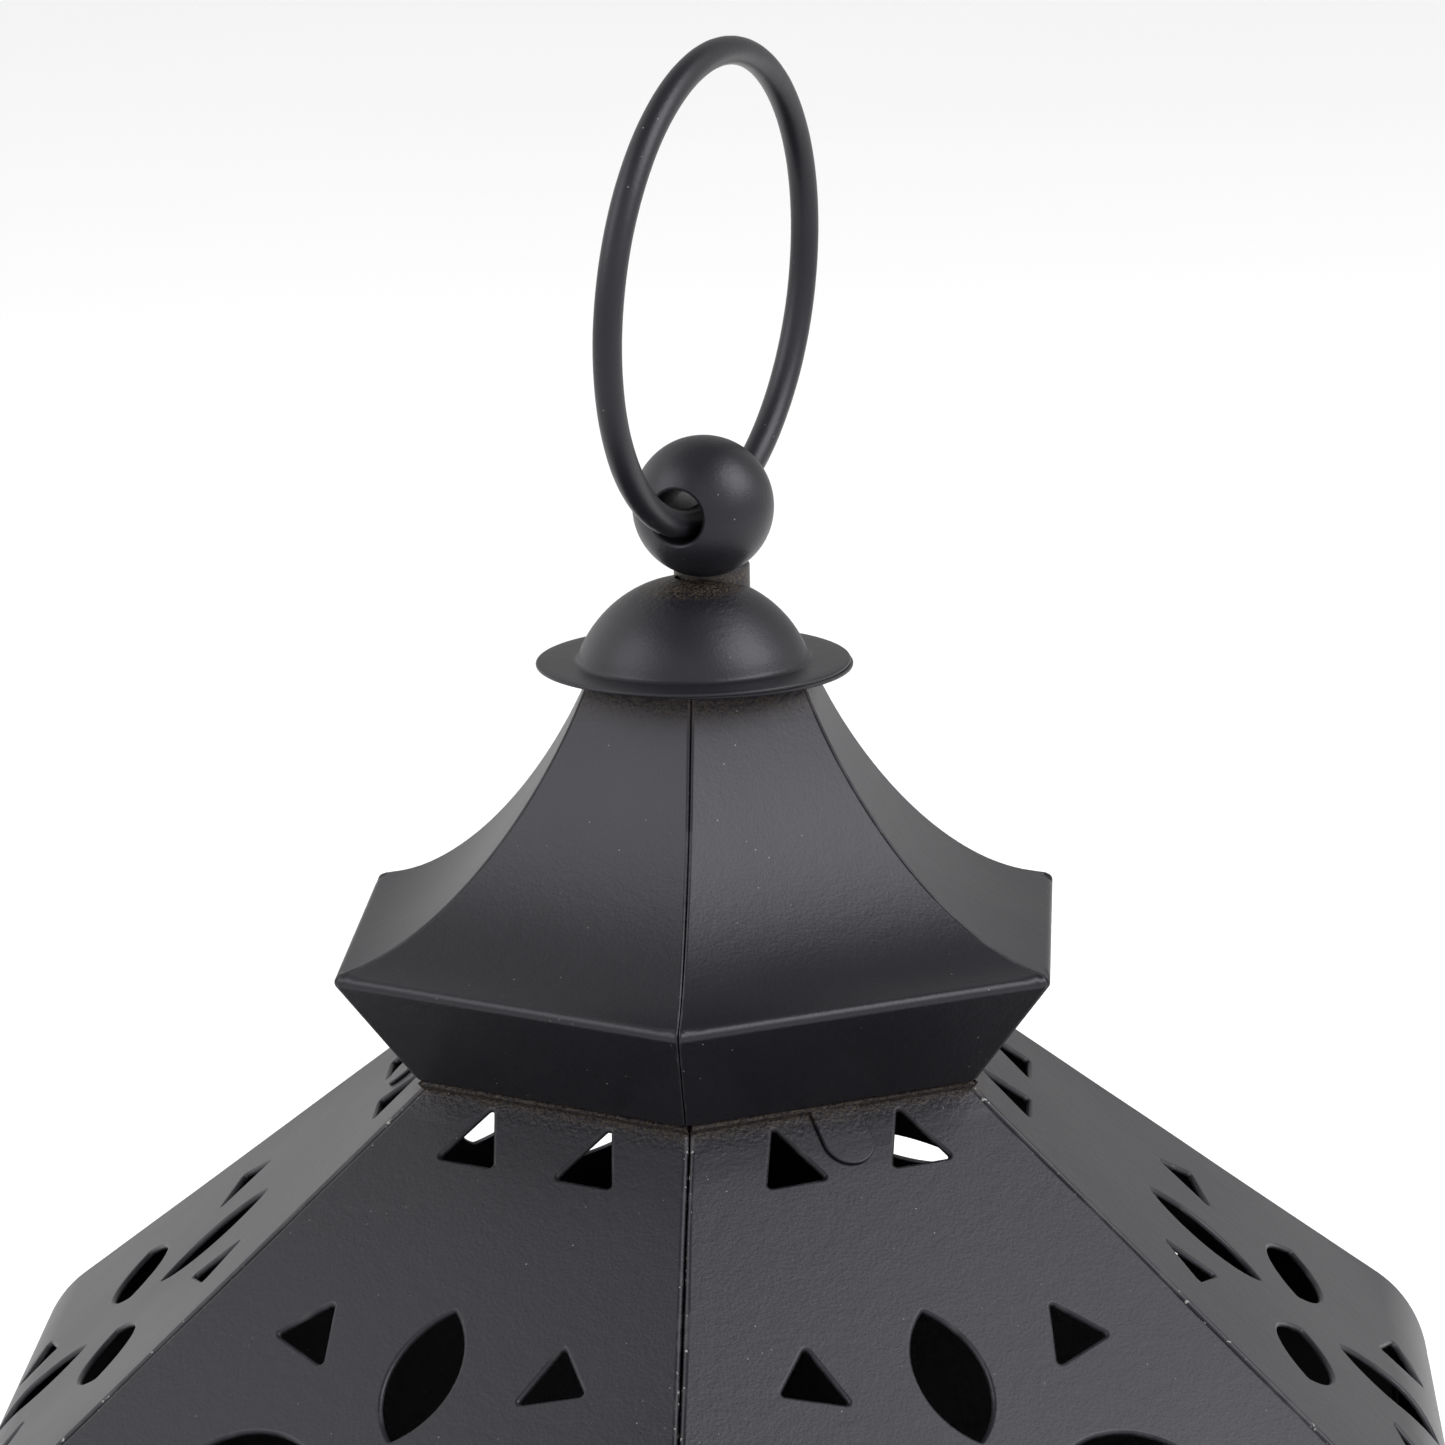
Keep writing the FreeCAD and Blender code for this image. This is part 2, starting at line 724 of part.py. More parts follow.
def button_rivet():
    """Spacer, shank and head; the head leaves the bar free to turn."""
    z = FLOWER_ON_WALL
    inner = -WALL_APOTHEM + SHEET
    gap = PIN_CLEARANCE
    head_seat = -WALL_APOTHEM - BUTTON_STANDOFF - BUTTON_THICK - gap
    tail = rod_outwards(BUTTON_X, z, inner + RIVET_DOME, RIVET_HEAD, RIVET_DOME)
    spacer = rod_outwards(BUTTON_X, z, -WALL_APOTHEM, BUTTON_SPACER, BUTTON_STANDOFF - gap)
    shank = rod_outwards(BUTTON_X, z, inner, BUTTON_SHANK, inner - head_seat)
    head = rod_outwards(BUTTON_X, z, head_seat, RIVET_HEAD, RIVET_DOME)
    return tail.fuse([spacer, shank, head]).removeSplitter()


# ---- assembly ----------------------------------------------------------------------

def main():
    os.makedirs("parts", exist_ok=True)

    floor_fixings = floor_rivets()
    foot_fixings = foot_rivets()
    wall_fixings = hinge_rivets(WALL_RIVET_X, -WALL_APOTHEM + SHEET)
    door_fixings = hinge_rivets(DOOR_RIVET_X, DOOR_BACK)
    root = spike_root()

    save(plinth(floor_fixings + foot_fixings), "plinth")
    save(hexagon(FLOOR_APOTHEM, PLINTH_HEIGHT, SHEET).cut(floor_fixings + [root]), "floor_sheet")
    save(Part.makeCompound(floor_fixings), "floor_rivets")
    save(Part.makeCompound(foot_fixings), "wall_foot_rivets")
    save(dish().cut(root), "candle_dish")
    save(spike(0).fuse(root).removeSplitter(), "candle_spike")
    save(candle().cut(wick()), "pillar_candle")
    save(wick(), "candle_wick")

    panel = body_panel()
    for side in range(1, SIDES + 1):
        if side == 1:
            shape = on_side(panel, side).cut([doorway(), button_rivet()] + wall_fixings + foot_fixings)
        else:
            shape = on_side(panel.cut(wall_punches(WALL_APOTHEM)), side).cut(foot_fixings)
        save(shape, "body_panel_%d" % side)

    roof = cap_panel()
    for side in range(1, SIDES + 1):
        save(turned(on_side(roof, side), CAP_TURN), "cap_panel_%d" % side)
    save(collar_with_tabs(), "collar_with_tabs")
    save(closing_disc(), "closing_disc")
    save(dome(), "dome_cap")
    save(neck(), "neck_collar")
    save(stud(), "finial_stud")
    save(nut(), "finial_nut")
    save(ball(), "finial_ball")
    save(ring(), "hanging_ring")

    save(door_leaf(door_fixings + [knob()]), "door_leaf")
    for name, low in zip(("lower", "upper"), HINGE_LOWS):
        save(wall_hinge_leaf(low, wall_fixings), "hinge_%s_wall_leaf" % name)
        save(door_hinge_leaf(low, door_fixings), "hinge_%s_door_leaf" % name)
    save(Part.makeCompound(hinge_pins()), "hinge_pins")
    save(Part.makeCompound(wall_fixings), "hinge_rivets_wall")
    save(Part.makeCompound(door_fixings), "hinge_rivets_door")
    save(knob(), "door_knob")
    save(turn_button(), "turn_button")
    save(button_rivet(), "turn_button_rivet")


main()
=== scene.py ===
import json
import math

import bpy
from mathutils import Matrix, Vector, noise
from mathutils.geometry import delaunay_2d_cdt


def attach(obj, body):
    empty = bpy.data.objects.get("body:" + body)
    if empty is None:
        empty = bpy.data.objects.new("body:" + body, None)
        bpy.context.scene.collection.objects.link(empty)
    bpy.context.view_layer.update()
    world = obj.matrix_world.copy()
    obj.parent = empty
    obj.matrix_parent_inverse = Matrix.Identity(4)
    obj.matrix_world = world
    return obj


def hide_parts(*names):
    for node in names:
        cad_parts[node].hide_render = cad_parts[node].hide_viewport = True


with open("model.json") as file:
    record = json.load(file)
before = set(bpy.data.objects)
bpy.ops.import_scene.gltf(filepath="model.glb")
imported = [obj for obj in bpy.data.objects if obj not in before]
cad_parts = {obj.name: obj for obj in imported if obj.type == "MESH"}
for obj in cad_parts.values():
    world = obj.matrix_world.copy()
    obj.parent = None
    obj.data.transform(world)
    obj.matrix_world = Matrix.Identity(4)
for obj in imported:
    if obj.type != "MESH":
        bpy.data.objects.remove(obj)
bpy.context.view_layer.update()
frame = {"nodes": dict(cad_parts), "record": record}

# The looks of the candle lantern. Blender works in metres; the sizes here are in
# millimetres, as on a drawing, and MM turns them into metres. A sheet is described by
# its section, drawn at +X as (apothem, height), and a place on it by (across, down),
# where down is measured along the section.
MM = 0.001
SIDES = 6
TAN_HALF = math.tan(math.radians(30))
SHEET = 0.8

# Body
PLINTH_HEIGHT = 12.0
WALL_APOTHEM = 108.0
WALL_TOP = 142.0
BEND_RADIUS = 24.0
SLOPE = math.radians(41.0)
SLOPE_START_APOTHEM = 37.5
BODY_TOP = -5.0
BODY_SEAM_DEPTH = 6.0
BODY_SEAM_GAP = 0.1
BODY_FOLD = 0.7
HEM_INNER = (100.0, 56.0)
HEM_OUTER = (107.1, 60.2)
HEM_CLEARANCE = 0.02
RIM = WALL_TOP + 88.9

# Punched pattern, and the soft paint round every hole
FLOWER_DOWN_SLOPE = 63.4
FLOWER_ON_WALL = 73.0
LEAF_LENGTH = 21.0
LEAF_WIDTH = 10.3
LEAF_CENTRE = 18.1
LEAF_TIP_ROUND = 0.3
DART = ((19.0, 26.4), (25.4, 20.0), (16.0, 16.6))
EAVE_DART_TIP = 2.5
EAVE_DART_BASE = 11.9
EAVE_DART_WIDTH = 9.2
EAVE_DART_ACROSS = 9.8
DART_ROUND = 0.45
PUNCH_ROUND = 0.6
PUNCH_ROUND_INSIDE = 0.2
# Edge mask on the holes' rounded rims: partly real wear, partly a painted highlight
HOLE_WEAR_AND_SHEEN = 0.7
DOORWAY_HALF = 41.0
DOORWAY_LOW = 27.0
DOORWAY_HIGH = 119.0
DOORWAY_ROUND = 0.8

# Cap
CAP_CURVE = ((15.2, 37.6), (20.9, 22.4), (34.7, 2.2), (50.5, 0.0))
CAP_CURVE_STEPS = 40
CAP_RIM_ROUND = 1.1
LIP_BOTTOM = (39.3, -16.4)
CAP_TURN = math.radians(-0.66)
CAP_SEAM_DEPTH = 3.0
CAP_SEAM_DEPTH_AT_RIM = 0.95
CAP_SEAM_GAP = 0.04
CAP_FOLD = 0.36

# Collar tabs
TAB_WIDTH = 7.6
TAB_END = 10.7
TAB_PANELS = (1, 3, 5)
TAB_SHEET = 0.55
COLLAR_BOTTOM = 1.6
COLLAR_SHEET = 0.85
COLLAR_CLEARANCE = 0.03

# Finial
FINIAL_SHIFT = Vector((0.9, -0.45, 0))
DOME_SHIFT = Vector((-0.7, 0.35, 0))
BALL_RADIUS = 10.0
BALL_RISE = 60.9
BALL_HOLE = 3.8
BALL_MOUTH = 0.55
BALL_TURN = math.radians(-51.7)
BALL_CENTRE = Vector((0, 0, RIM + BALL_RISE)) + FINIAL_SHIFT
BALL_AXIS = Vector((math.sin(BALL_TURN), -math.cos(BALL_TURN), 0))
RING_RADIUS = 33.1
WIRE_RADIUS = 2.0
RING_RISE = RING_RADIUS - 1.74
RING_TILT = math.radians(-3.65)
RING_SLIDE = 1.2
DOME_BASE_RADIUS = 16.0
DOME_BULGE = 10.45
DOME_TOP_RISE = 50.85
DOME_FILLET = 1.0
STUD_HOLE = 2.6
BRIM_RADIUS = 22.3
BRIM_RISE = 38.3
BRIM_SHEET = 0.6
BRIM_ROUND = 0.29
DISC_RADIUS = 20.8
DISC_ROUND = 0.3
DISC_SHIFT = Vector((1.1, -0.2, 0))
DISC_LOW = 37.6
NECK_RADIUS = 5.4
NECK_BORE = 4.2
NECK_ROUND = 0.6
NECK_SUNK = 5.0
NECK_TOP_RISE = 52.2
NECK_SHIFT = Vector((3.5, 2.3, 0))

# Door, knob, turn button and rivets
DOOR_OVERLAP = 3.0
DOOR_APOTHEM = 109.8
DOOR_MIDDLE = 73.0
KNOB_X = -34.5
BUTTON_X = -53.0
BUTTON_HALF = 13.0
BUTTON_WIDTH = 7.0
BUTTON_THICK = 1.2
BUTTON_STANDOFF = 2.1
RIVET_SHANK = 1.4
RIVET_HEAD = 2.6
RIVET_DOME = 1.1
RIVET_GRIP = 1.8
RIVET_SEAT = 11.0
RIVET_RISES = (4.0, 14.0)
FLOOR_RIVET_APOTHEM = 96.0
WALL_RIVET_APOTHEM = 103.5
WALL_RIVET_ACROSS = 30.0
HINGE_LOWS = (36.0, 92.0)
WALL_RIVET_X = 56.0
DOOR_RIVET_X = 38.0

# Candle, wick and dish
CANDLE_LOW = 13.85
CANDLE_HEIGHT = 90.0
CANDLE_RADIUS = 35.0
CANDLE_ROUND = 2.0
WELL_DEPTH = 3.0
SPIKE_HOLE = ((3.2, 0.0), (0.7, 21.0), (0.0, 22.3))
WICK_RADIUS = 1.05
WICK_LENGTH = 18.0
WICK_SUNK = 8.0
DISH_RADIUS = 45.0
DISH_HEIGHT = 7.0
DISH_SHEET = 1.0
DISH_HOLE = 1.6

# The photograph's view
VIEW_AZIMUTH = math.radians(-27.24)
VIEW_ELEVATION = math.radians(13.24)
VIEW_ROLL = math.radians(0.896)
VIEW_DISTANCE = 911.9
AIM_RIGHT = 2.79
AIM_UP = 28.8
LENS = 159.03
SENSOR = 36.0

# Light; angles in degrees from the camera's side. Each shade darkens the studio round
# one direction: (azimuth, elevation, cosine where it starts, where it is full, light left)
SKY = 1.45
SHADES = ((165, 24, 0.50, 0.92, 0.40), (60, 88, 0.68, 0.88, 0.31))
# Softboxes: (name, azimuth, elevation, distance in metres, size in metres, watts)
SOFTBOXES = (("key", 74, 42, 1.6, 1.1, 24), ("fill", -75, 36, 1.6, 1.0, 10))

# Colours and finishes
PAINT_DARK = (0.0040, 0.0038, 0.0055)
PAINT_LIGHT = (0.0075, 0.0072, 0.0095)
# Lighter colour on edges and hole rims: real worn paint, and a painted highlight on the rounded edges
PAINT_WORN_AND_SHEEN = (0.10, 0.10, 0.105)
SPECK_DUST = (0.20, 0.19, 0.18)
CHIP = (0.22, 0.21, 0.20)
BROWN_DUST = (0.085, 0.062, 0.036)
STEEL_DARK = (0.060, 0.055, 0.048)
STEEL_LIGHT = (0.12, 0.115, 0.105)
WAX_DARK = (0.80, 0.72, 0.55)
WAX_LIGHT = (0.88, 0.82, 0.68)
COTTON_DARK = (0.55, 0.50, 0.42)
COTTON_LIGHT = (0.82, 0.78, 0.70)
PAPER_DARK = (0.95, 0.95, 0.95)
PAPER_LIGHT = (0.97, 0.97, 0.97)
PAINT_ROUGHNESS = (0.36, 0.43)
PAINT_SPECULAR = 0.295
PAINT_TINT = (0.95, 0.93, 1.0)
# Bumps of the paint: (noise scale, detail, roughness, distance in mm, strength)
PAINT_BUMPS = ((14, 1, 0.5, 2.2, 0.10), (420, 2, 0.5, 0.07, 0.5), (1900, 2, 0.6, 0.055, 0.6))
LUMPS = (1100, 3, 0.6, 0.22, 0.8)
SPECK_SIZE = (0.028, 0.052)
CHIP_LEVELS = (0.66, 0.70)
# Bands of brown dust: (height, half width, strength)
BODY_GRIME = (RIM - 17.0, 2.2, 0.45)
CAP_GRIME = (RIM + 36.5, 4.0, 0.35)
FINIAL_GRIME = (RIM + 50.4, 1.6, 0.6)

SLOTS = {part["node"]: part["material_slot"] for part in frame["record"]["subparts"]}


# ---- meshes ----

class Skin:
    """Points in millimetres, each with its own normal and edge mask (real wear and a painted highlight on
    rounded edges), and the faces.
    """

    def __init__(self):
        self.points = []
        self.normals = []
        self.wear_and_sheen = []
        self.faces = []
        self.flat = []

    def point(self, place, normal, wear_and_sheen=0.0):
        self.points.append(Vector(place))
        self.normals.append(Vector(normal))
        self.wear_and_sheen.append(wear_and_sheen)
        return len(self.points) - 1

    def face(self, corners, flat=False):
        self.faces.append(tuple(corners))
        self.flat.append(flat)

    def strip(self, one, two, flat=False):
        """Quads between two open rows of points."""
        for index in range(len(one) - 1):
            self.face((one[index], one[index + 1], two[index + 1], two[index]), flat)

    def join(self, other):
        start = len(self.points)
        self.points.extend(other.points)
        self.normals.extend(other.normals)
        self.wear_and_sheen.extend(other.wear_and_sheen)
        self.flat.extend(other.flat)
        self.faces.extend(tuple(start + corner for corner in face) for face in other.faces)

    def turn(self, angle):
        matrix = Matrix.Rotation(angle, 3, "Z")
        self.points = [matrix @ point for point in self.points]
        self.normals = [matrix @ normal for normal in self.normals]

    def face_outwards(self):
        """Winds every face so that it agrees with its points' normals."""
        for index, corners in enumerate(self.faces):
            first, second, third = (self.points[corner] for corner in corners[:3])
            across = (second - first).cross(third - second)
            if len(corners) == 4:
                across += (self.points[corners[3]] - third).cross(first - self.points[corners[3]])
            aim = sum((self.normals[corner] for corner in corners), Vector())
            if across.dot(aim) < 0:
                self.faces[index] = corners[::-1]

    def build(self, name, material):
        self.face_outwards()
        mesh = bpy.data.meshes.new(name)
        mesh.from_pydata([tuple(point * MM) for point in self.points], [], self.faces)
        mesh.materials.append(material)
        wear_and_sheen = mesh.attributes.new("wear_and_sheen", "FLOAT", "POINT")
        wear_and_sheen.data.foreach_set("value", self.wear_and_sheen)
        mesh.shade_smooth()
        mesh.update()
        loops = []
        for polygon, flat in zip(mesh.polygons, self.flat):
            for corner in polygon.vertices:
                loops.append(tuple(polygon.normal if flat else self.normals[corner].normalized()))
        mesh.normals_split_custom_set(loops)
        return add(name, mesh)


def side_angle(side):
    return math.radians(60 * (side - 1) - 90)


def add(name, data):
    item = bpy.data.objects.new(name, data)
    bpy.context.scene.collection.objects.link(item)
    return item


def settle(piece, body, node):
    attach(piece, body)
    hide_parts(node)


# ---- sections ----

BEND_CENTRE = WALL_APOTHEM - BEND_RADIUS
SLOPE_LENGTH = (BEND_CENTRE + BEND_RADIUS * math.sin(SLOPE) - SLOPE_START_APOTHEM) / math.cos(SLOPE)
BEND_LENGTH = BEND_RADIUS * (math.pi / 2 - SLOPE)
BODY_FOOT = SLOPE_LENGTH + BEND_LENGTH + WALL_TOP - PLINTH_HEIGHT
WALL_FLOWER_DOWN = SLOPE_LENGTH + BEND_LENGTH + WALL_TOP - FLOWER_ON_WALL


def body_section(down):
    """Apothem, height and the normal's elevation, at a distance down from the lip."""
    if down < SLOPE_LENGTH + BEND_LENGTH:
        elevation = math.pi / 2 - SLOPE - max(0, down - SLOPE_LENGTH) / BEND_RADIUS
        back = max(0, SLOPE_LENGTH - down)
        apothem = BEND_CENTRE + BEND_RADIUS * math.cos(elevation) - back * math.cos(SLOPE)
        height = WALL_TOP + BEND_RADIUS * math.sin(elevation) + back * math.sin(SLOPE)
    else:
        elevation = 0.0
        apothem = WALL_APOTHEM
        height = WALL_TOP - (down - SLOPE_LENGTH - BEND_LENGTH)
    return apothem, height, elevation


def lathe_section(points):
    """A section function through closely spaced points, measured from the first."""
    lengths = [0.0]
    for one, two in zip(points, points[1:]):
        lengths.append(lengths[-1] + math.dist(one, two))
    elevations = []
    for index in range(len(points)):
        before = points[max(index - 1, 0)]
        after = points[min(index + 1, len(points) - 1)]
        elevations.append(math.atan2(after[0] - before[0], before[1] - after[1]))

    def section(down):
        index = 1
        while index < len(lengths) - 1 and lengths[index] < down:
            index += 1
        share = (down - lengths[index - 1]) / (lengths[index] - lengths[index - 1])
        apothem, height = Vector(points[index - 1]).lerp(Vector(points[index]), share)
        elevation = elevations[index - 1] + (elevations[index] - elevations[index - 1]) * share
        return apothem, height, elevation

    return section, lengths


def fillet(before, corner, after, radius, steps):
    """Points of the round where two straight runs meet."""
    corner = Vector(corner)
    back = (Vector(before) - corner).normalized()
    ahead = (Vector(after) - corner).normalized()
    half = back.angle(ahead) / 2
    centre = corner + (back + ahead).normalized() * (radius / math.sin(half))
    start = corner + back * (radius / math.tan(half)) - centre
    end = corner + ahead * (radius / math.tan(half)) - centre
    first = math.atan2(start.y, start.x)
    turn = math.remainder(math.atan2(end.y, end.x) - first, 2 * math.pi)
    points = []
    for index in range(steps + 1):
        angle = first + turn * index / steps
        points.append((centre.x + radius * math.cos(angle), centre.y + radius * math.sin(angle)))
    return points


def cap_points():
    """The cap's section: hollow roof, round rim, straight lip."""
    roof = []
    for index in range(CAP_CURVE_STEPS):
        part = index / CAP_CURVE_STEPS
        point = Vector((0, 0))
        for order, pole in enumerate(CAP_CURVE):
            point += Vector(pole) * (math.comb(3, order) * part ** order * (1 - part) ** (3 - order))
        roof.append(point)
    rim = fillet(roof[-1], CAP_CURVE[-1], LIP_BOTTOM, CAP_RIM_ROUND, 8)
    roof = [tuple(point) for point in roof if point.x < rim[0][0] - 0.3]
    lip = [tuple(Vector(rim[-1]).lerp(Vector(LIP_BOTTOM), share)) for share in (0.2, 0.4, 0.6, 0.8, 1)]
    return [(apothem, RIM + rise) for apothem, rise in roof + rim + lip]


# ---- outlines on a sheet ----

def round_corners(points, radius, steps=4, sharp=math.radians(25)):
    """The same closed outline with its sharp corners rounded."""
    result = []
    for index, corner in enumerate(points):
        before = Vector(points[index - 1])
        corner = Vector(corner)
        after = Vector(points[(index + 1) % len(points)])
        turn = (corner - before).angle(after - corner)
        if turn < sharp:
            result.append(tuple(corner))
        else:
            result.extend(fillet(before, corner, after, radius, steps))
    return result


def anticlockwise(points):
    area = 0.0
    for index, (x, y) in enumerate(points):
        next_x, next_y = points[(index + 1) % len(points)]
        area += x * next_y - next_x * y
    return points if area > 0 else points[::-1]


def leaf_outline(across, down, upright):
    half_length = LEAF_LENGTH / 2
    half_width = LEAF_WIDTH / 2
    radius = (half_length ** 2 + half_width ** 2) / (2 * half_width)
    reach = math.asin(half_length / radius)
    steps = 16
    points = []
    for sign in (1, -1):
        for index in range(steps):
            angle = reach * (1 - 2 * index / steps)
            along = radius * math.sin(angle) * sign
            aside = (radius * math.cos(angle) - radius + half_width) * sign
            if upright:
                along, aside = aside, along
            points.append((across + along, down + aside))
    return round_corners(points, LEAF_TIP_ROUND)


def flower_outlines(down):
    outlines = []
    for sign in (-1, 1):
        outlines.append(leaf_outline(sign * LEAF_CENTRE, down, False))
        outlines.append(leaf_outline(0, down + sign * LEAF_CENTRE, True))
        for other in (-1, 1):
            corners = [(sign * x, down + other * y) for x, y in DART]
            outlines.append(round_corners(corners, DART_ROUND))
    return outlines


def eave_outlines():
    outlines = []
    for middle in (-EAVE_DART_ACROSS, EAVE_DART_ACROSS):
        corners = [(middle, EAVE_DART_TIP)]
        corners += [(middle + side * EAVE_DART_WIDTH / 2, EAVE_DART_BASE) for side in (-1, 1)]
        outlines.append(round_corners(corners, DART_ROUND))
    return outlines


def rectangle(left, top, right, bottom, radius):
    corners = [(left, top), (right, top), (right, bottom), (left, bottom)]
    dense = []
    for index, corner in enumerate(corners):
        start = Vector(corner)
        end = Vector(corners[(index + 1) % 4])
        count = max(2, int((end - start).length / 6))
        dense.extend(tuple(start.lerp(end, step / count)) for step in range(count))
    return round_corners(dense, radius)


def inside(point, outline):
    x, y = point
    found = False
    last_x, last_y = outline[-1]
    for next_x, next_y in outline:
        if (next_y > y) != (last_y > y):
            crossing = (last_x - next_x) * (y - next_y) / (last_y - next_y) + next_x
            if x < crossing:
                found = not found
        last_x, last_y = next_x, next_y
    return found


def near(point, outline, limit):
    """Whether a point is closer than the limit to a closed outline's points."""
    x, y = point
    return any(abs(x - a) < limit and abs(y - b) < limit for a, b in outline)


def outward_normals(outline):
    """Into the sheet, for the outline of a hole; lengthened at corners."""
    normals = []
    for index, point in enumerate(outline):
        before = (Vector(point) - Vector(outline[index - 1])).normalized()
        after = (Vector(outline[(index + 1) % len(outline)]) - Vector(point)).normalized()
        one = Vector((before.y, -before.x))
        two = Vector((after.y, -after.x))
        middle = (one + two).normalized()
        normals.append(middle / max(middle.dot(one), 0.75))
    return normals


# ---- punched sheets ----

class Sheet:
    """One bent sheet drawn at +X, with rounded holes, in a skin of its own."""

    def __init__(self, section, thickness=SHEET):
        self.section = section
        self.thickness = thickness
        self.skin = Skin()

    def frame_at(self, down):
        apothem, height, elevation = self.section(down)
        normal = Vector((math.cos(elevation), 0, math.sin(elevation)))
        along = Vector((math.sin(elevation), 0, -math.cos(elevation)))
        return Vector((apothem, 0, height)), normal, along

    def place(self, across, down, depth):
        origin, normal, _ = self.frame_at(down)
        return origin + Vector((0, across, 0)) - normal * depth

    def edge_rings(self, outline, rounds, sign, wear_and_sheen):
        """Rounded edge rows from the outer face to the inner face; sign 1 is a hole."""
        steps = 4
        front = []
        back = []
        for index in range(steps + 1):
            angle = math.pi / 2 * index / steps
            shrink = 1 - math.sin(angle)
            sink = 1 - math.cos(angle)
            front.append((rounds[0] * shrink, rounds[0] * sink, angle))
            back.append((rounds[1] * shrink, self.thickness - rounds[1] * sink, math.pi - angle))
        normals = outward_normals(outline)
        rings = []
        for offset, depth, angle in front + back[::-1]:
            ring = []
            for (across, down), aim in zip(outline, normals):
                aim = aim * sign
                spot = (across + aim.x * offset, down + aim.y * offset)
                _, normal, along = self.frame_at(spot[1])
                tilt = normal * math.cos(angle) - (Vector((0, aim.x, 0)) + along * aim.y) * math.sin(angle)
                ring.append((self.place(spot[0], spot[1], depth), tilt, wear_and_sheen, spot))
            rings.append(ring)
        return rings

    def add_rings(self, rings, outer_ids, inner_ids):
        rows = [outer_ids]
        for ring in rings[1:-1]:
            rows.append([self.skin.point(place, tilt, wear_and_sheen) for place, tilt, wear_and_sheen, _ in ring])
        rows.append(inner_ids)
        for one, two in zip(rows, rows[1:]):
            self.skin.strip(two + two[:1], one + one[:1])

    def punch(self, holes, rounds, wear_and_sheen):
        """The holes' edge rows, and the loops where they meet the outer face."""
        rims = [self.edge_rings(anticlockwise(hole), rounds, 1, wear_and_sheen) for hole in holes]
        return rims, [[spot for _, _, _, spot in rim[0]] for rim in rims]

    def line_holes(self, rims, outer, inner, start):
        """Adds the holes' edges; in both lists their points follow the boundary's."""
        for rim in rims:
            end = start + len(rim[0])
            self.add_rings(rim, outer[start:end], inner[start:end])
            start = end

    def fill(self, boundary, holes, grid):
        """Triangles between a boundary and its holes, through the grid's points."""
        points = list(boundary)
        edges = [(index, (index + 1) % len(boundary)) for index in range(len(boundary))]
        for hole in holes:
            start = len(points)
            points.extend(hole)
            edges.extend((start + index, start + (index + 1) % len(hole)) for index in range(len(hole)))
        for point in grid:
            free = inside(point, boundary) and not near(point, boundary, 0.9)
            if free and not any(inside(point, hole) or near(point, hole, 1.1) for hole in holes):
                points.append(point)
        result = delaunay_2d_cdt([Vector(point) for point in points], edges, [], 0, 1e-6)
        if len(result[0]) != len(points):
            raise ValueError("the outline crosses itself")
        places = [source[0] for source in result[3]]
        triangles = []
        for triangle in result[2]:
            corners = [places[index] for index in triangle]
            middle = sum((Vector(points[index]) for index in corners), Vector((0, 0))) / 3
            if inside(middle, boundary) and not any(inside(middle, hole) for hole in holes):
                triangles.append(corners)
        return points, triangles

    def add_faces(self, points, triangles, inner_places=None):
        """The outer and inner faces; returns the ids of both, in the points' order."""
        outer = []
        inner = []
        for index, (across, down) in enumerate(points):
            _, normal, _ = self.frame_at(down)
            outer.append(self.skin.point(self.place(across, down, 0), normal))
            spot = self.place(across, down, self.thickness)
            if inner_places and index in inner_places:
                spot = inner_places[index]
            inner.append(self.skin.point(spot, -normal))
        for one, two, three in triangles:
            self.skin.face((outer[one], outer[two], outer[three]))
            self.skin.face((inner[three], inner[two], inner[one]))
        return outer, inner


def grid_points(half, rows, step):
    points = []
    count = int(half / step) + 1
    for down in rows:
        points.extend((column * step, down) for column in range(-count, count + 1))
    return points


def flat_sheet(section, outline, holes, thickness, edge_round, hole_round, step=6.0, wear_and_sheen=1.0):
    """A plain sheet with one rounded outer edge and rounded holes."""
    sheet = Sheet(section, thickness)
    outline = anticlockwise(outline)
    edge = sheet.edge_rings(outline, (edge_round, edge_round), -1, wear_and_sheen)
    rims, loops = sheet.punch(holes, (hole_round, hole_round), wear_and_sheen)
    boundary = [spot for _, _, _, spot in edge[0]]
    half = max(abs(across) for across, _ in outline)
    low = min(down for _, down in outline)
    high = max(down for _, down in outline)
    rows = [low + step * number for number in range(1, int((high - low) / step) + 1)]
    points, triangles = sheet.fill(boundary, loops, grid_points(half, rows, step))
    outer, inner = sheet.add_faces(points, triangles)
    count = len(boundary)
    sheet.add_rings(edge, outer[:count], inner[:count])
    sheet.line_holes(rims, outer, inner, count)
    return sheet


def seam_geometry(sheet, down, fold, gap, depth, steps):
    """The fold at the +Y hip: where it starts, its (across, depth, normal) rows, the inner corner."""
    apothem, _, elevation = sheet.section(down)
    lean = math.cos(elevation) * TAN_HALF
    size = math.hypot(1, lean)
    corner = math.pi / 2 - math.atan(lean)
    edge = apothem * TAN_HALF - gap
    reach = fold / math.tan(corner / 2)
    _, normal, _ = sheet.frame_at(down)
    rows = []
    for index in range(steps + 1):
        angle = (math.pi - corner) * index / steps
        tilt = Vector((0, math.sin(angle), 0)) + normal * math.cos(angle)
        rows.append((edge - reach + fold * math.sin(angle), fold - fold * math.cos(angle), tilt))
    outwards = (Vector((0, 1, 0)) - normal * lean) / size
    far = (edge - lean / size * depth, depth / size)
    rows.append((far[0], far[1], outwards))
    thick = sheet.thickness
    rows.append((far[0] - thick / size, far[1] - thick * lean / size, -outwards))
    inner = edge - thick / math.tan(corner / 2)
    return edge - reach, rows, inner


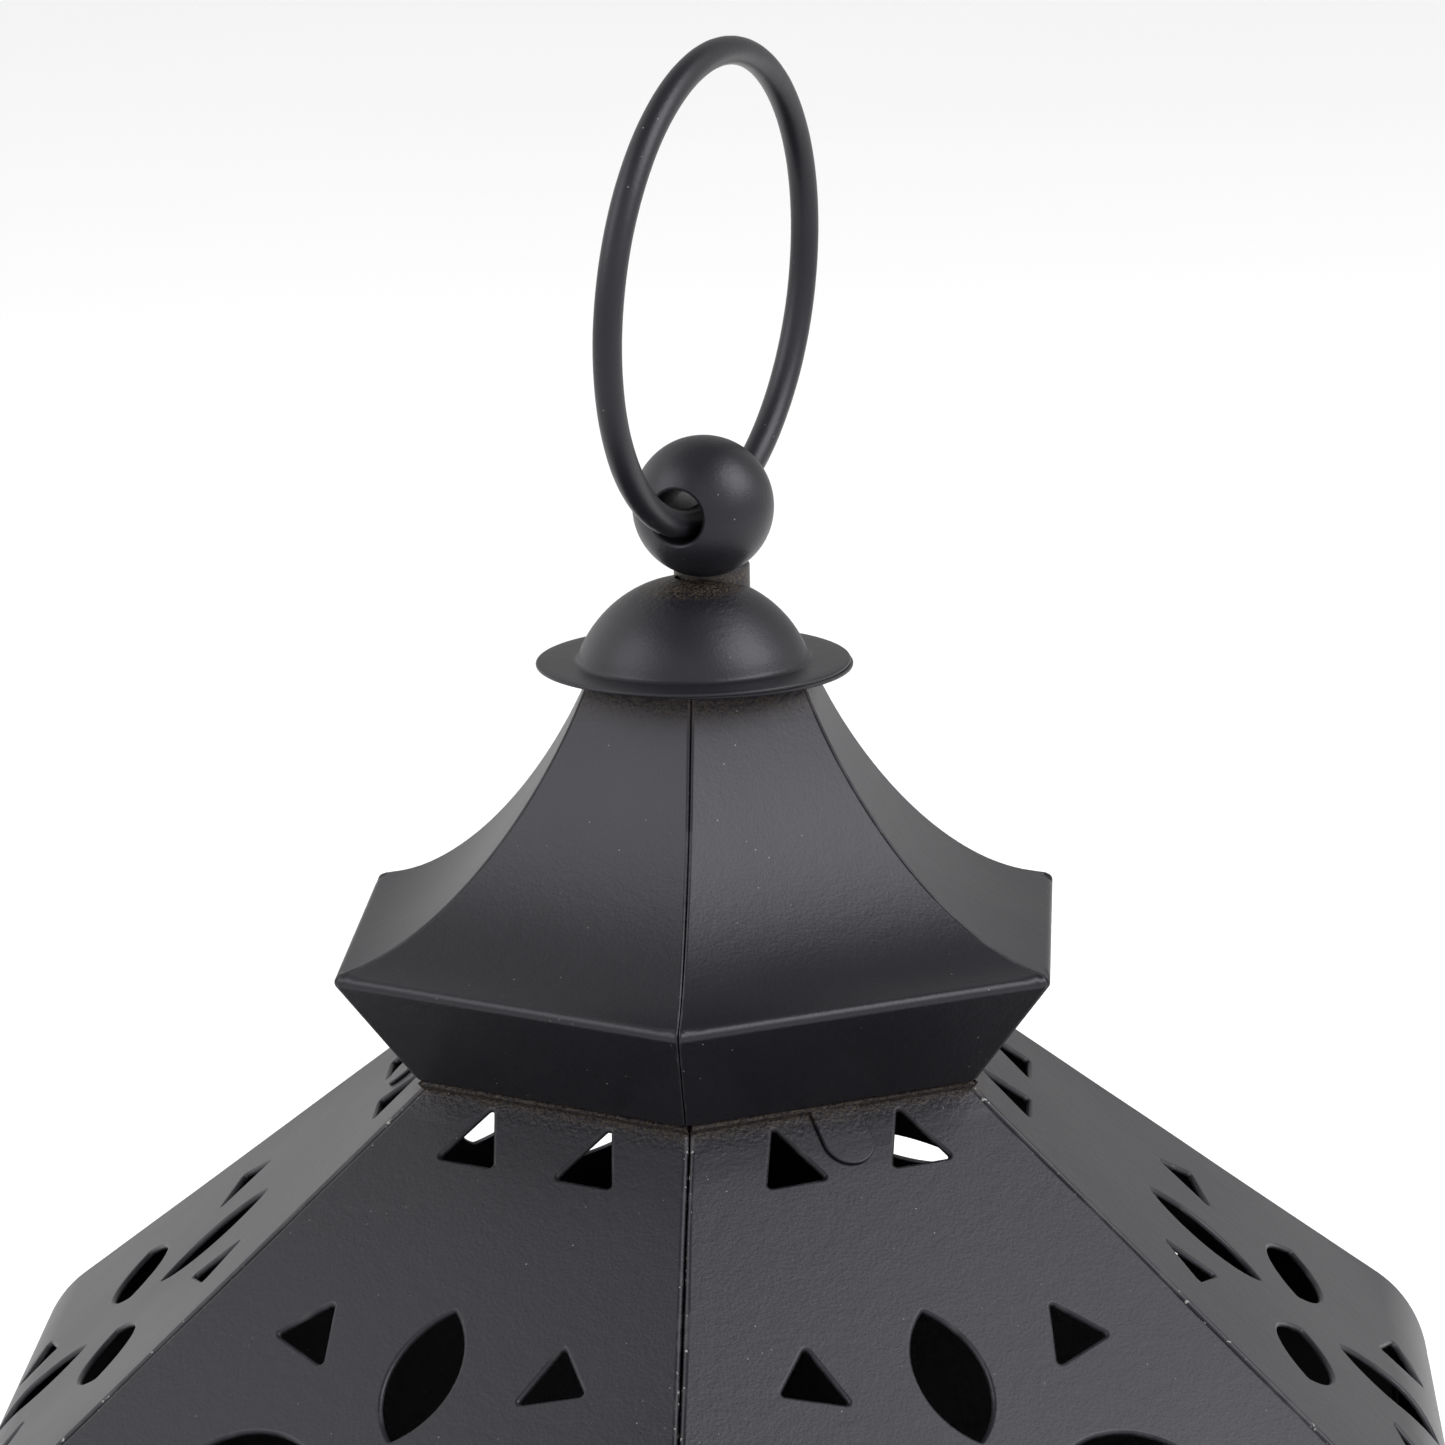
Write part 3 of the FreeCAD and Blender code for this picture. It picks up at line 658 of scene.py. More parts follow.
def seamed_sheet(section, rows, holes, seam, seed, step=6.0):
    """A panel between two hips: folded side edges, plain top and bottom, rounded holes.

    The seam is its fold's radius, half its gap, its depth as a function, and its edge mask, which marks real
    wear and a painted highlight on the folds."""
    fold, gap, seam_depth, seam_wear_and_sheen = seam
    sheet = Sheet(section)
    steps = 5
    seams = {}
    for sign in (-1, 1):
        for down in rows:
            wander = noise.noise(Vector((down * 0.09, seed * 7.1 + sign * 3.7, 0.0)))
            local_gap = max(0.02, gap * (1 + 0.8 * wander))
            local_fold = fold * (1 + 0.25 * noise.noise(Vector((down * 0.05, seed * 3.3, sign * 5.0))))
            seams[sign, down] = seam_geometry(sheet, down, local_fold, local_gap, seam_depth(down), steps)
    right = [(seams[1, down][0], down) for down in rows]
    left = [(-seams[-1, down][0], down) for down in rows]

    def end_row(start, end):
        count = max(2, int((Vector(end) - Vector(start)).length / step))
        return [tuple(Vector(start).lerp(Vector(end), index / count)) for index in range(1, count)]

    top = end_row(left[0], right[0])
    bottom = end_row(right[-1], left[-1])
    boundary = left[:1] + top + right + bottom + left[:0:-1]
    kinds = [(-1, rows[0])] + [None] * len(top) + [(1, down) for down in rows]
    kinds += [None] * len(bottom) + [(-1, down) for down in rows[:0:-1]]
    flip = anticlockwise(boundary) is not boundary
    if flip:
        boundary, kinds = boundary[::-1], kinds[::-1]
    rims, loops = sheet.punch(holes, (PUNCH_ROUND, PUNCH_ROUND_INSIDE), HOLE_WEAR_AND_SHEEN)
    half = max(across for across, _ in right)
    points, triangles = sheet.fill(boundary, loops, grid_points(half, rows[1:-1], step))
    inner_places = {}
    for index, kind in enumerate(kinds):
        if kind:
            inner_places[index] = sheet.place(kind[0] * seams[kind][2], kind[1], sheet.thickness)
    outer, inner = sheet.add_faces(points, triangles, inner_places)
    edge_rows = [outer[:len(boundary)]]
    for ring in range(1, steps + 3):
        row = []
        for index, kind in enumerate(kinds):
            across, down = boundary[index]
            if kind:
                aside, depth, tilt = seams[kind][1][ring]
                tilt = Vector((tilt.x, tilt.y * kind[0], tilt.z))
                # The seam folds get the edge mask: real chips and wear, and a painted highlight along the
                # fold
                wear_and_sheen = seam_wear_and_sheen if ring <= steps else 0.0
                row.append(sheet.skin.point(sheet.place(aside * kind[0], down, depth), tilt, wear_and_sheen))
            else:
                depth = sheet.thickness * ring / (steps + 3)
                _, _, along = sheet.frame_at(down)
                tilt = along if down == rows[-1] else -along
                row.append(sheet.skin.point(sheet.place(across, down, depth), tilt, 0.5))
        edge_rows.append(row)
    edge_rows.append(inner[:len(boundary)])
    for number, (one, two) in enumerate(zip(edge_rows, edge_rows[1:])):
        sheet.skin.strip(one + one[:1], two + two[:1], flat=number > steps)
    sheet.line_holes(rims, outer, inner, len(boundary))
    return sheet


# ---- turned parts ----

def lathe(points, faces, profile, centre, axis, segments, wobble):
    """Adds one turned shape; a profile that starts at its end is closed."""
    axis = Vector(axis).normalized()
    side = axis.orthogonal().normalized()
    other = axis.cross(side)
    closed = profile[0] == profile[-1]
    rows = profile[:-1] if closed else profile
    starts = []
    for radius, along in rows:
        starts.append(len(points))
        if radius < 1e-6:
            points.append(centre + axis * along)
            continue
        for index in range(segments):
            angle = 2 * math.pi * index / segments
            spoke = side * math.cos(angle) + other * math.sin(angle)
            grow = 1 + wobble * noise.noise(spoke * 1.3 + axis * along * 0.2)
            points.append(centre + spoke * radius * grow + axis * along)
    count = len(rows)
    pairs = [(index, (index + 1) % count) for index in range(count if closed else count - 1)]
    for one, two in pairs:
        for index in range(segments):
            after = (index + 1) % segments
            low = [starts[one]] if rows[one][0] < 1e-6 else [starts[one] + index, starts[one] + after]
            high = [starts[two]] if rows[two][0] < 1e-6 else [starts[two] + after, starts[two] + index]
            faces.append(tuple(low + high))


def turned(name, profile, centre, axis, material, segments=96, wobble=0.0, sharp=35):
    """A lathe-turned piece, or several alike. The profile is (radius, along) in millimetres."""
    points, faces = [], []
    for place in centre if isinstance(centre, list) else [centre]:
        lathe(points, faces, profile, place, axis, segments, wobble)
    mesh = bpy.data.meshes.new(name)
    mesh.from_pydata([tuple(point * MM) for point in points], [], faces)
    mesh.materials.append(material)
    mesh.update()
    mesh.shade_smooth()
    mesh.set_sharp_from_angle(angle=math.radians(sharp))
    return add(name, mesh)


def arc(centre, radius, start, end, steps):
    points = []
    for index in range(steps + 1):
        angle = math.radians(start + (end - start) * index / steps)
        points.append((centre[0] + radius * math.cos(angle), centre[1] + radius * math.sin(angle)))
    return points


# ---- materials ----

class Nodes:
    """Short names for the shader nodes of a material or of the world."""

    def __init__(self, owner, shader="Principled BSDF"):
        owner.use_nodes = True
        self.owner = owner
        self.tree = owner.node_tree
        self.shader = self.tree.nodes[shader]
        self.coordinates = self.node("TexCoord").outputs["Object"]

    def put(self, value, socket):
        """Links a node's output to an input, or sets the input."""
        if isinstance(value, bpy.types.NodeSocket):
            self.tree.links.new(value, socket)
        elif socket.type == "RGBA":
            socket.default_value = (*value, 1)
        else:
            socket.default_value = value

    def shade(self, **values):
        for name, value in values.items():
            self.put(value, self.shader.inputs[name.replace("_", " ")])

    def node(self, kind, **values):
        node = self.tree.nodes.new("ShaderNode" + kind)
        for name, value in values.items():
            self.put(value, node.inputs[name.replace("_", " ")])
        return node

    def noise(self, scale, detail=3.0, roughness=0.5):
        values = {"Scale": scale, "Detail": detail, "Roughness": roughness}
        return self.node("TexNoise", Vector=self.coordinates, **values).outputs["Fac"]

    def spots(self, scale):
        return self.node("TexVoronoi", Scale=scale, Vector=self.coordinates).outputs["Distance"]

    def range(self, value, low, high, to_low=0.0, to_high=1.0, kind="LINEAR"):
        node = self.node("MapRange", Value=value, From_Min=low, From_Max=high, To_Min=to_low, To_Max=to_high)
        node.interpolation_type = kind
        return node.outputs["Result"]

    def math(self, operation, one, two):
        node = self.node("Math")
        node.operation = operation
        node.use_clamp = operation in ("ADD", "MULTIPLY")
        self.put(one, node.inputs[0])
        self.put(two, node.inputs[1])
        return node.outputs["Value"]

    def mix(self, factor, one, two):
        node = self.node("Mix")
        node.data_type = "RGBA"
        self.put(factor, node.inputs["Factor"])
        self.put(one, node.inputs["A"])
        self.put(two, node.inputs["B"])
        return node.outputs["Result"]

    def above_table(self):
        """The height in millimetres."""
        split = self.node("SeparateXYZ", Vector=self.coordinates)
        return self.math("DIVIDE", split.outputs["Z"], MM)

    def band(self, height, middle, inner, outer, strength):
        """Full within the inner distance of a height, nothing past the outer one."""
        away = self.math("ABSOLUTE", self.math("SUBTRACT", height, middle), 0)
        return self.range(away, inner, outer, strength, 0)

    def attribute(self, name):
        node = self.node("Attribute")
        node.attribute_name = name
        return node.outputs["Fac"]

    def bump(self, layers):
        """Stacked bumps, each (height, distance in mm, strength)."""
        normal = None
        for value, distance, strength in layers:
            node = self.node("Bump", Height=value, Distance=distance * MM, Strength=strength)
            if normal:
                self.put(normal, node.inputs["Normal"])
            normal = node.outputs["Normal"]
        self.shade(Normal=normal)


def paint(name, grimy=None):
    """Satin black powder coat; grimy is (height, half width, strength) of a dusty band."""
    nodes = Nodes(bpy.data.materials.new(name))
    broad = nodes.noise(18, 3)
    worn_and_sheen = nodes.attribute("wear_and_sheen")
    speck = nodes.range(nodes.spots(430), *SPECK_SIZE, 1, 0)
    speck = nodes.math("MULTIPLY", speck, nodes.range(nodes.noise(70, 2), 0.40, 0.62))
    chip = nodes.math("MULTIPLY", nodes.noise(1000, 2, 0.6), worn_and_sheen)
    chip = nodes.range(chip, *CHIP_LEVELS)
    wear_and_sheen = nodes.math("MULTIPLY", worn_and_sheen, nodes.range(nodes.noise(240, 4), 0.5, 0.75))
    colour = nodes.mix(nodes.range(broad, 0.3, 0.7), PAINT_DARK, PAINT_LIGHT)
    # The edge mask lightens rounded edges and hole rims: real wear, and a painted highlight on them
    colour = nodes.mix(nodes.math("MULTIPLY", wear_and_sheen, 0.28), colour, PAINT_WORN_AND_SHEEN)
    roughness = nodes.range(broad, 0.3, 0.7, *PAINT_ROUGHNESS)
    roughness = nodes.math("ADD", roughness, nodes.math("MULTIPLY", wear_and_sheen, 0.10))
    bumps = [(nodes.noise(*look[:3]), *look[3:]) for look in PAINT_BUMPS]
    if grimy:
        middle, half, strength = grimy
        height = nodes.above_table()
        clumps = nodes.range(nodes.noise(2600, 2, 0.6), 0.42, 0.66)
        grime = nodes.math("MULTIPLY", nodes.band(height, middle, half * 0.35, half, strength), clumps)
        colour = nodes.mix(grime, colour, BROWN_DUST)
        roughness = nodes.math("ADD", roughness, nodes.math("MULTIPLY", grime, 0.35))
        lumpy = nodes.band(height, middle, 1.2, 4.0, 1)
        bumps.append((nodes.math("MULTIPLY", nodes.noise(*LUMPS[:3]), lumpy), *LUMPS[3:]))
    colour = nodes.mix(speck, colour, SPECK_DUST)
    colour = nodes.mix(chip, colour, CHIP)
    nodes.shade(Base_Color=colour, Roughness=roughness)
    nodes.shade(Specular_IOR_Level=PAINT_SPECULAR, Specular_Tint=PAINT_TINT)
    nodes.bump(bumps)
    return nodes.owner


def steel(name):
    nodes = Nodes(bpy.data.materials.new(name))
    broad = nodes.noise(300, 4)
    roughness = nodes.range(broad, 0.3, 0.7, 0.5, 0.7)
    nodes.shade(Base_Color=nodes.mix(broad, STEEL_DARK, STEEL_LIGHT), Roughness=roughness, Metallic=1.0)
    nodes.bump([(nodes.noise(900, 3), 0.03, 0.4)])
    return nodes.owner


def wax(name):
    nodes = Nodes(bpy.data.materials.new(name))
    colour = nodes.mix(nodes.range(nodes.noise(40, 4), 0.35, 0.65), WAX_DARK, WAX_LIGHT)
    roughness = nodes.range(nodes.noise(120, 3), 0.3, 0.7, 0.38, 0.52)
    nodes.shade(Base_Color=colour, Roughness=roughness)
    nodes.shade(Subsurface_Weight=0.35, Subsurface_Radius=(0.012, 0.008, 0.004))
    nodes.bump([(nodes.noise(60, 3), 0.5, 0.3), (nodes.noise(900, 3), 0.02, 0.4)])
    return nodes.owner


def cotton(name):
    nodes = Nodes(bpy.data.materials.new(name))
    wave = nodes.node("TexWave", Scale=500, Distortion=1.5, Vector=nodes.coordinates)
    wave.bands_direction = "DIAGONAL"
    braid = wave.outputs["Fac"]
    nodes.shade(Base_Color=nodes.mix(braid, COTTON_DARK, COTTON_LIGHT), Roughness=0.9)
    nodes.bump([(braid, 0.15, 0.8)])
    return nodes.owner


# ---- the lantern's pieces ----

def make_body(material):
    wall_start = SLOPE_LENGTH + BEND_LENGTH
    step = 3.0
    bend_rows = 14
    wall_rows = 26
    rows = [BODY_TOP + step * index for index in range(int((SLOPE_LENGTH - BODY_TOP) / step))]
    rows += [SLOPE_LENGTH + BEND_LENGTH * index / bend_rows for index in range(bend_rows + 1)]
    rows += [wall_start + (BODY_FOOT - wall_start) * index / wall_rows for index in range(1, wall_rows + 1)]
    slope_holes = flower_outlines(FLOWER_DOWN_SLOPE) + eave_outlines()
    door_top = wall_start + WALL_TOP - DOORWAY_HIGH
    door_bottom = wall_start + WALL_TOP - DOORWAY_LOW
    doorway = rectangle(-DOORWAY_HALF, door_top, DOORWAY_HALF, door_bottom, DOORWAY_ROUND)
    for side in range(1, SIDES + 1):
        wall_holes = [doorway] if side == 1 else flower_outlines(WALL_FLOWER_DOWN)
        holes = slope_holes + wall_holes
        seam = (BODY_FOLD, BODY_SEAM_GAP, lambda down: BODY_SEAM_DEPTH, 1.0)
        sheet = seamed_sheet(body_section, rows, holes, seam, side)
        add_hem(sheet.skin)
        sheet.skin.turn(side_angle(side))
        node = "body_panel_%d" % side
        settle(sheet.skin.build(node + "_sheet", material), "lantern", node)


def add_block(skin, inner, outer):
    """Flat faces round a block; the inner loop runs clockwise seen from the outer one."""
    skin.face(inner, True)
    skin.face(outer[::-1], True)
    for index in range(len(inner)):
        after = (index + 1) % len(inner)
        skin.face((inner[after], inner[index], outer[index], outer[after]), True)


def add_hem(skin):
    """The wall's foot, turned in flat on the plinth."""
    low = PLINTH_HEIGHT + HEM_CLEARANCE
    high = PLINTH_HEIGHT + SHEET
    outline = [HEM_INNER, HEM_OUTER, (HEM_OUTER[0], -HEM_OUTER[1]), (HEM_INNER[0], -HEM_INNER[1])]
    bottom = [skin.point((x, y, low), (0, 0, -1)) for x, y in outline]
    top = [skin.point((x, y, high), (0, 0, 1)) for x, y in outline]
    add_block(skin, bottom, top)


def make_cap(material):
    section, lengths = lathe_section(cap_points())
    lip_rows = 6
    rim_down = lengths[-lip_rows] - 1.0

    def seam_depth(down):
        return min(CAP_SEAM_DEPTH, CAP_SEAM_DEPTH_AT_RIM + abs(down - rim_down) / 2)

    for side in range(1, SIDES + 1):
        seam = (CAP_FOLD, CAP_SEAM_GAP, seam_depth, 0.8)
        sheet = seamed_sheet(section, lengths, [], seam, side + 20, step=3.0)
        sheet.skin.turn(side_angle(side) + CAP_TURN)
        node = "cap_panel_%d" % side
        settle(sheet.skin.build(node + "_sheet", material), "lantern", node)


def tab_section(down):
    apothem, height, elevation = body_section(down)
    lift = TAB_SHEET + COLLAR_CLEARANCE
    return apothem + lift * math.cos(elevation), height + lift * math.sin(elevation), elevation


def make_collar(material):
    half = TAB_WIDTH / 2
    starts = (-2.0, 1.0, 4.0)
    outline = [(half, down) for down in starts]
    outline += arc((0, TAB_END - half), half, 0, 180, 18)
    outline += [(-half, down) for down in starts[::-1]]
    joined = Skin()
    for side in range(1, SIDES + 1):
        skins = [collar_strip()]
        if side in TAB_PANELS:
            skins.append(flat_sheet(tab_section, outline, [], TAB_SHEET, 0.26, 0.2, 1.6, 0.5).skin)
        for skin in skins:
            skin.turn(side_angle(side))
            joined.join(skin)
    settle(joined.build("collar_with_tabs_sheet", material), "lantern", "collar_with_tabs")


def collar_strip():
    """One side of the band under the lip."""
    skin = Skin()
    inner = []
    outer = []
    for down, sides in ((BODY_TOP, (-1, 1)), (COLLAR_BOTTOM, (1, -1))):
        apothem, height, elevation = body_section(down)
        normal = Vector((math.cos(elevation), 0, math.sin(elevation)))
        foot = Vector((apothem, 0, height)) + normal * COLLAR_CLEARANCE
        for side in sides:
            place = foot + Vector((0, side * (apothem * TAN_HALF - 0.1), 0))
            inner.append(skin.point(place, -normal))
            outer.append(skin.point(place + normal * COLLAR_SHEET, normal))
    add_block(skin, inner, outer)
    return skin


def make_ball(material):
    reach = math.asin((BALL_HOLE + BALL_MOUTH) / BALL_RADIUS)
    mouth_rise = BALL_RADIUS * math.cos(reach) - BALL_MOUTH
    mouth_radius = BALL_HOLE + BALL_MOUTH
    profile = [(BALL_HOLE, -mouth_rise), (BALL_HOLE, 0), (BALL_HOLE, mouth_rise)]
    profile += arc((mouth_radius, mouth_rise), BALL_MOUTH, 180, 108, 5)[1:-1]
    profile += arc((0, 0), BALL_RADIUS, 90 - math.degrees(reach), math.degrees(reach) - 90, 64)
    profile += arc((mouth_radius, -mouth_rise), BALL_MOUTH, 252, 180, 5)[1:-1]
    profile.append(profile[0])
    ball = turned("finial_ball_turned", profile, BALL_CENTRE, BALL_AXIS, material, 128, 0.004)
    settle(ball, "lantern", "finial_ball")


def dome_profile():
    """A shallow sphere that runs out in a flat brim; heights above the cap's rim."""
    radius = (DOME_BASE_RADIUS ** 2 + DOME_BULGE ** 2) / (2 * DOME_BULGE)
    base = DOME_TOP_RISE - radius
    top = BRIM_RISE + BRIM_SHEET
    skirt = math.degrees(math.asin((BRIM_RISE + 2.0 - base) / radius))
    profile = [(STUD_HOLE, DOME_TOP_RISE - 0.2)]
    profile += arc((0, base), radius, 82, skirt, 30)
    foot = profile[-1][0] + 0.5
    profile += fillet(profile[-1], (foot, top), (BRIM_RADIUS, top), DOME_FILLET, 6)
    profile += [(18.5, top), (20.6, top)]
    profile += arc((BRIM_RADIUS - BRIM_ROUND, BRIM_RISE + BRIM_SHEET / 2), BRIM_ROUND, 88, -88, 8)
    profile += [(20.0, BRIM_RISE), (16.0, BRIM_RISE)]
    profile += arc((0, base), radius - BRIM_SHEET, skirt - 1, 80, 16)
    return profile + profile[:1]


def neck_profile():
    low = DOME_TOP_RISE - NECK_SUNK
    corner = (NECK_RADIUS - NECK_ROUND, NECK_TOP_RISE - NECK_ROUND)
    profile = [(NECK_BORE, low), (NECK_RADIUS, low)] + arc(corner, NECK_ROUND, 0, 90, 6)
    return profile + [(NECK_BORE, NECK_TOP_RISE), (NECK_BORE, low)]


def disc_profile():
    edge = DISC_RADIUS - DISC_ROUND
    profile = [(STUD_HOLE, DISC_LOW)]
    profile += arc((edge, DISC_LOW + DISC_ROUND), DISC_ROUND, -90, 0, 4)
    profile += arc((edge, BRIM_RISE - DISC_ROUND), DISC_ROUND, 0, 90, 4)
    return profile + [(STUD_HOLE, BRIM_RISE), (STUD_HOLE, DISC_LOW)]


def make_finial(black, dusty):
    make_ball(black)
    rim = Vector((0, 0, RIM))
    for node, profile, shift, segments, wobble in (
        ("dome_cap", dome_profile(), DOME_SHIFT, 144, 0.006),
        ("neck_collar", neck_profile(), NECK_SHIFT, 72, 0.01),
        ("closing_disc", disc_profile(), DISC_SHIFT, 96, 0.004),
    ):
        piece = turned(node + "_turned", profile, rim + shift, (0, 0, 1), dusty, segments, wobble)
        settle(piece, "lantern", node)


def make_ring(material):
    up = Matrix.Rotation(RING_TILT, 3, BALL_AXIS) @ Vector((0, 0, 1))
    flat = BALL_AXIS.cross(up)
    middle = BALL_CENTRE + up * RING_RISE + BALL_AXIS * RING_SLIDE
    skin = Skin()
    around = 256
    about = 28
    rows = []
    for index in range(around):
        angle = 2 * math.pi * index / around
        spoke = BALL_AXIS * math.cos(angle) + up * math.sin(angle)
        row = []
        for step in range(about):
            turn = 2 * math.pi * step / about
            way = spoke * math.cos(turn) + flat * math.sin(turn)
            dent = 0.012 * noise.noise(Vector((angle * 4, math.cos(turn), math.sin(turn))))
            row.append(skin.point(middle + spoke * RING_RADIUS + way * WIRE_RADIUS * (1 + dent), way))
        rows.append(row + row[:1])
    for one, two in zip(rows, rows[1:] + rows[:1]):
        skin.strip(one, two)
    settle(skin.build("hanging_ring_wire", material), "ring", "hanging_ring")


def button_section(down):
    return WALL_APOTHEM + BUTTON_STANDOFF + BUTTON_THICK, DOOR_MIDDLE + BUTTON_HALF - down, 0.0


def door_section(down):
    return DOOR_APOTHEM, DOORWAY_HIGH + DOOR_OVERLAP - down, 0.0


def make_door(material):
    half = DOORWAY_HALF + DOOR_OVERLAP
    height = DOORWAY_HIGH - DOORWAY_LOW + 2 * DOOR_OVERLAP
    outline = rectangle(-half, 0, half, height, DOOR_OVERLAP)
    holes = flower_outlines(DOORWAY_HIGH + DOOR_OVERLAP - DOOR_MIDDLE)
    sheet = flat_sheet(door_section, outline, holes, SHEET, 0.25, 0.3)
    sheet.skin.turn(side_angle(1))
    settle(sheet.skin.build("door_leaf_sheet", material), "door", "door_leaf")

    washer = [(2.4, -1.1), (2.85, -0.9), (3.0, -0.5), (3.0, 0), (1.5, 0)]
    collar = [(1.5, SHEET), (3.0, SHEET), (3.0, 1.3), (2.85, 1.52), (2.6, 1.6), (1.5, 1.6)]
    ball = arc((0, 5.4), 3.4, -63.8, 90, 20)
    profile = [(0, -1.1)] + washer + collar + ball[:-1] + [(0, 8.8)]
    place = Vector((KNOB_X, SHEET - DOOR_APOTHEM, DOOR_MIDDLE))
    knob = turned("door_knob_turned", profile, place, (0, -1, 0), material, 48)
    settle(knob, "door", "door_knob")

    half = BUTTON_WIDTH / 2
    outline = arc((BUTTON_X, half), half, 180, 360, 14)
    outline += arc((BUTTON_X, 2 * BUTTON_HALF - half), half, 0, 180, 14)
    sheet = flat_sheet(button_section, outline, [], BUTTON_THICK, 0.3, 0.2, 3.0)
    sheet.skin.turn(side_angle(1))
    settle(sheet.skin.build("turn_button_bar", material), "turn_button", "turn_button")


def rivet_profile(grip):
    radius = (RIVET_HEAD ** 2 + RIVET_DOME ** 2) / (2 * RIVET_DOME)
    start = math.degrees(math.asin((radius - RIVET_DOME) / radius))
    upper = arc((0, grip + RIVET_DOME - radius), radius, start, 90, 8)[:-1]
    lower = [(across, grip - along) for across, along in upper]
    shank = [(RIVET_SHANK, 0), (RIVET_SHANK, grip)]
    return [(0, -RIVET_DOME)] + lower[::-1] + shank + upper + [(0, grip + RIVET_DOME)]


def make_rivets(material):
    floor = []
    foot = []
    for side in range(1, SIDES + 1):
        turn = Matrix.Rotation(side_angle(side), 3, "Z")
        floor.append(turn @ Vector((FLOOR_RIVET_APOTHEM, 0, RIVET_SEAT)))
        for across in (-WALL_RIVET_ACROSS, WALL_RIVET_ACROSS):
            foot.append(turn @ Vector((WALL_RIVET_APOTHEM, across, RIVET_SEAT)))
    heights = [low + rise for low in HINGE_LOWS for rise in RIVET_RISES]
    wall = [Vector((WALL_RIVET_X, SHEET - WALL_APOTHEM, height)) for height in heights]
    door = [Vector((DOOR_RIVET_X, SHEET - DOOR_APOTHEM, height)) for height in heights]
    for node, body, places, axis in (
        ("floor_rivets", "lantern", floor, (0, 0, 1)),
        ("wall_foot_rivets", "lantern", foot, (0, 0, 1)),
        ("hinge_rivets_wall", "lantern", wall, (0, -1, 0)),
        ("hinge_rivets_door", "door", door, (0, -1, 0)),
    ):
        piece = turned(node + "_turned", rivet_profile(RIVET_GRIP), places, axis, material, 24)
        settle(piece, body, node)


def make_candle(material):
    top = CANDLE_LOW + CANDLE_HEIGHT
    well = top - WELL_DEPTH
    round_radius = CANDLE_RADIUS - CANDLE_ROUND
    profile = [(0, well), (10.0, well), (20.0, well + 0.1), (25.5, well + 0.3)]
    profile += [(28.2, well + 1.0), (29.6, well + 2.1), (30.6, well + 2.8)]
    profile += arc((round_radius, top - CANDLE_ROUND), CANDLE_ROUND, 90, 0, 8)
    profile += [(CANDLE_RADIUS, top - 12 * step) for step in range(1, 7)]
    profile += arc((round_radius, CANDLE_LOW + CANDLE_ROUND), CANDLE_ROUND, 0, -90, 8)
    profile += [(radius, CANDLE_LOW + rise) for radius, rise in SPIKE_HOLE]
    candle = turned("pillar_candle_poured", profile, Vector(), (0, 0, 1), material, 128, 0.004, 50)
    settle(candle, "candle", "pillar_candle")


def make_wick(material):
    """A braid that leans over and narrows at its burnt end."""
    skin = Skin()
    start = CANDLE_LOW + CANDLE_HEIGHT - WELL_DEPTH - WICK_SUNK
    steps = 24
    around = 16
    rows = []
    for step in range(steps + 1):
        share = step / steps
        sway = 0.9 * max(0.0, share - 0.45) ** 2
        size = WICK_RADIUS * (1 - 3.5 * max(0.0, share - 0.9))
        end = Vector((0, 0, 0.6 if step == steps else 0))
        row = []
        for index in range(around):
            angle = 2 * math.pi * index / around
            strand = 1 - 0.1 * abs(math.sin(1.5 * angle + share * 14))
            spoke = Vector((math.cos(angle), math.sin(angle), 0))
            place = spoke * size * strand + Vector((sway, -0.6 * sway, start + WICK_LENGTH * share))
            row.append(skin.point(place, spoke + end))
        rows.append(row + row[:1])
    for one, two in zip(rows, rows[1:]):
        skin.strip(one, two)
    skin.face(rows[-1][:-1])
    skin.face(rows[0][:-1])
    settle(skin.build("candle_wick_braid", material), "candle", "candle_wick")


def make_dish(material):
    base = PLINTH_HEIGHT + SHEET
    floor = base + DISH_SHEET
    rim = base + DISH_HEIGHT
    profile = [(DISH_HOLE, base)] + arc((DISH_RADIUS, floor), 1.0, -90, 0, 5)
    profile += [(DISH_RADIUS + DISH_SHEET, rim - 0.9)]
    profile += arc((DISH_RADIUS + 0.5, rim), 1.0, -55, 230, 16)
    profile += [(DISH_RADIUS, base + 2.0)]
    profile += arc((DISH_RADIUS - 0.8, floor + 0.8), 0.8, 0, -90, 4)
    profile += [(30.0, floor), (DISH_HOLE, floor), (DISH_HOLE, base)]
    dish = turned("candle_dish_spun", profile, Vector(), (0, 0, 1), material, 128, 0.003)
    settle(dish, "lantern", "candle_dish")


def soften(piece):
    """Small rounded edges on a piece that is taken from the CAD model as it is."""
    bevel = piece.modifiers.new("soft_edges", "BEVEL")
    bevel.width = 0.2 * MM
    bevel.segments = 2
    bevel.limit_method = "ANGLE"
    bevel.angle_limit = math.radians(40)
    bevel.harden_normals = True


# ---- camera, floor and light ----

def make_camera():
    outwards = Vector((math.sin(VIEW_AZIMUTH), -math.cos(VIEW_AZIMUTH), 0))
    right = Vector((math.cos(VIEW_AZIMUTH), math.sin(VIEW_AZIMUTH), 0))
    back = outwards * math.cos(VIEW_ELEVATION) + Vector((0, 0, math.sin(VIEW_ELEVATION)))
    up = back.cross(right)
    rolled_right = right * math.cos(VIEW_ROLL) - up * math.sin(VIEW_ROLL)
    rolled_up = up * math.cos(VIEW_ROLL) + right * math.sin(VIEW_ROLL)
    aim = Vector((0, 0, RIM)) + rolled_right * AIM_RIGHT + rolled_up * AIM_UP
    camera = bpy.data.cameras.new("camera")
    camera.lens = LENS
    camera.sensor_width = SENSOR
    camera.clip_start = 0.01
    camera.clip_end = 50
    holder = add("camera", camera)
    matrix = Matrix((rolled_right, rolled_up, back)).transposed().to_4x4()
    matrix.translation = (aim + back * VIEW_DISTANCE) * MM
    holder.matrix_world = matrix
    bpy.context.scene.camera = holder


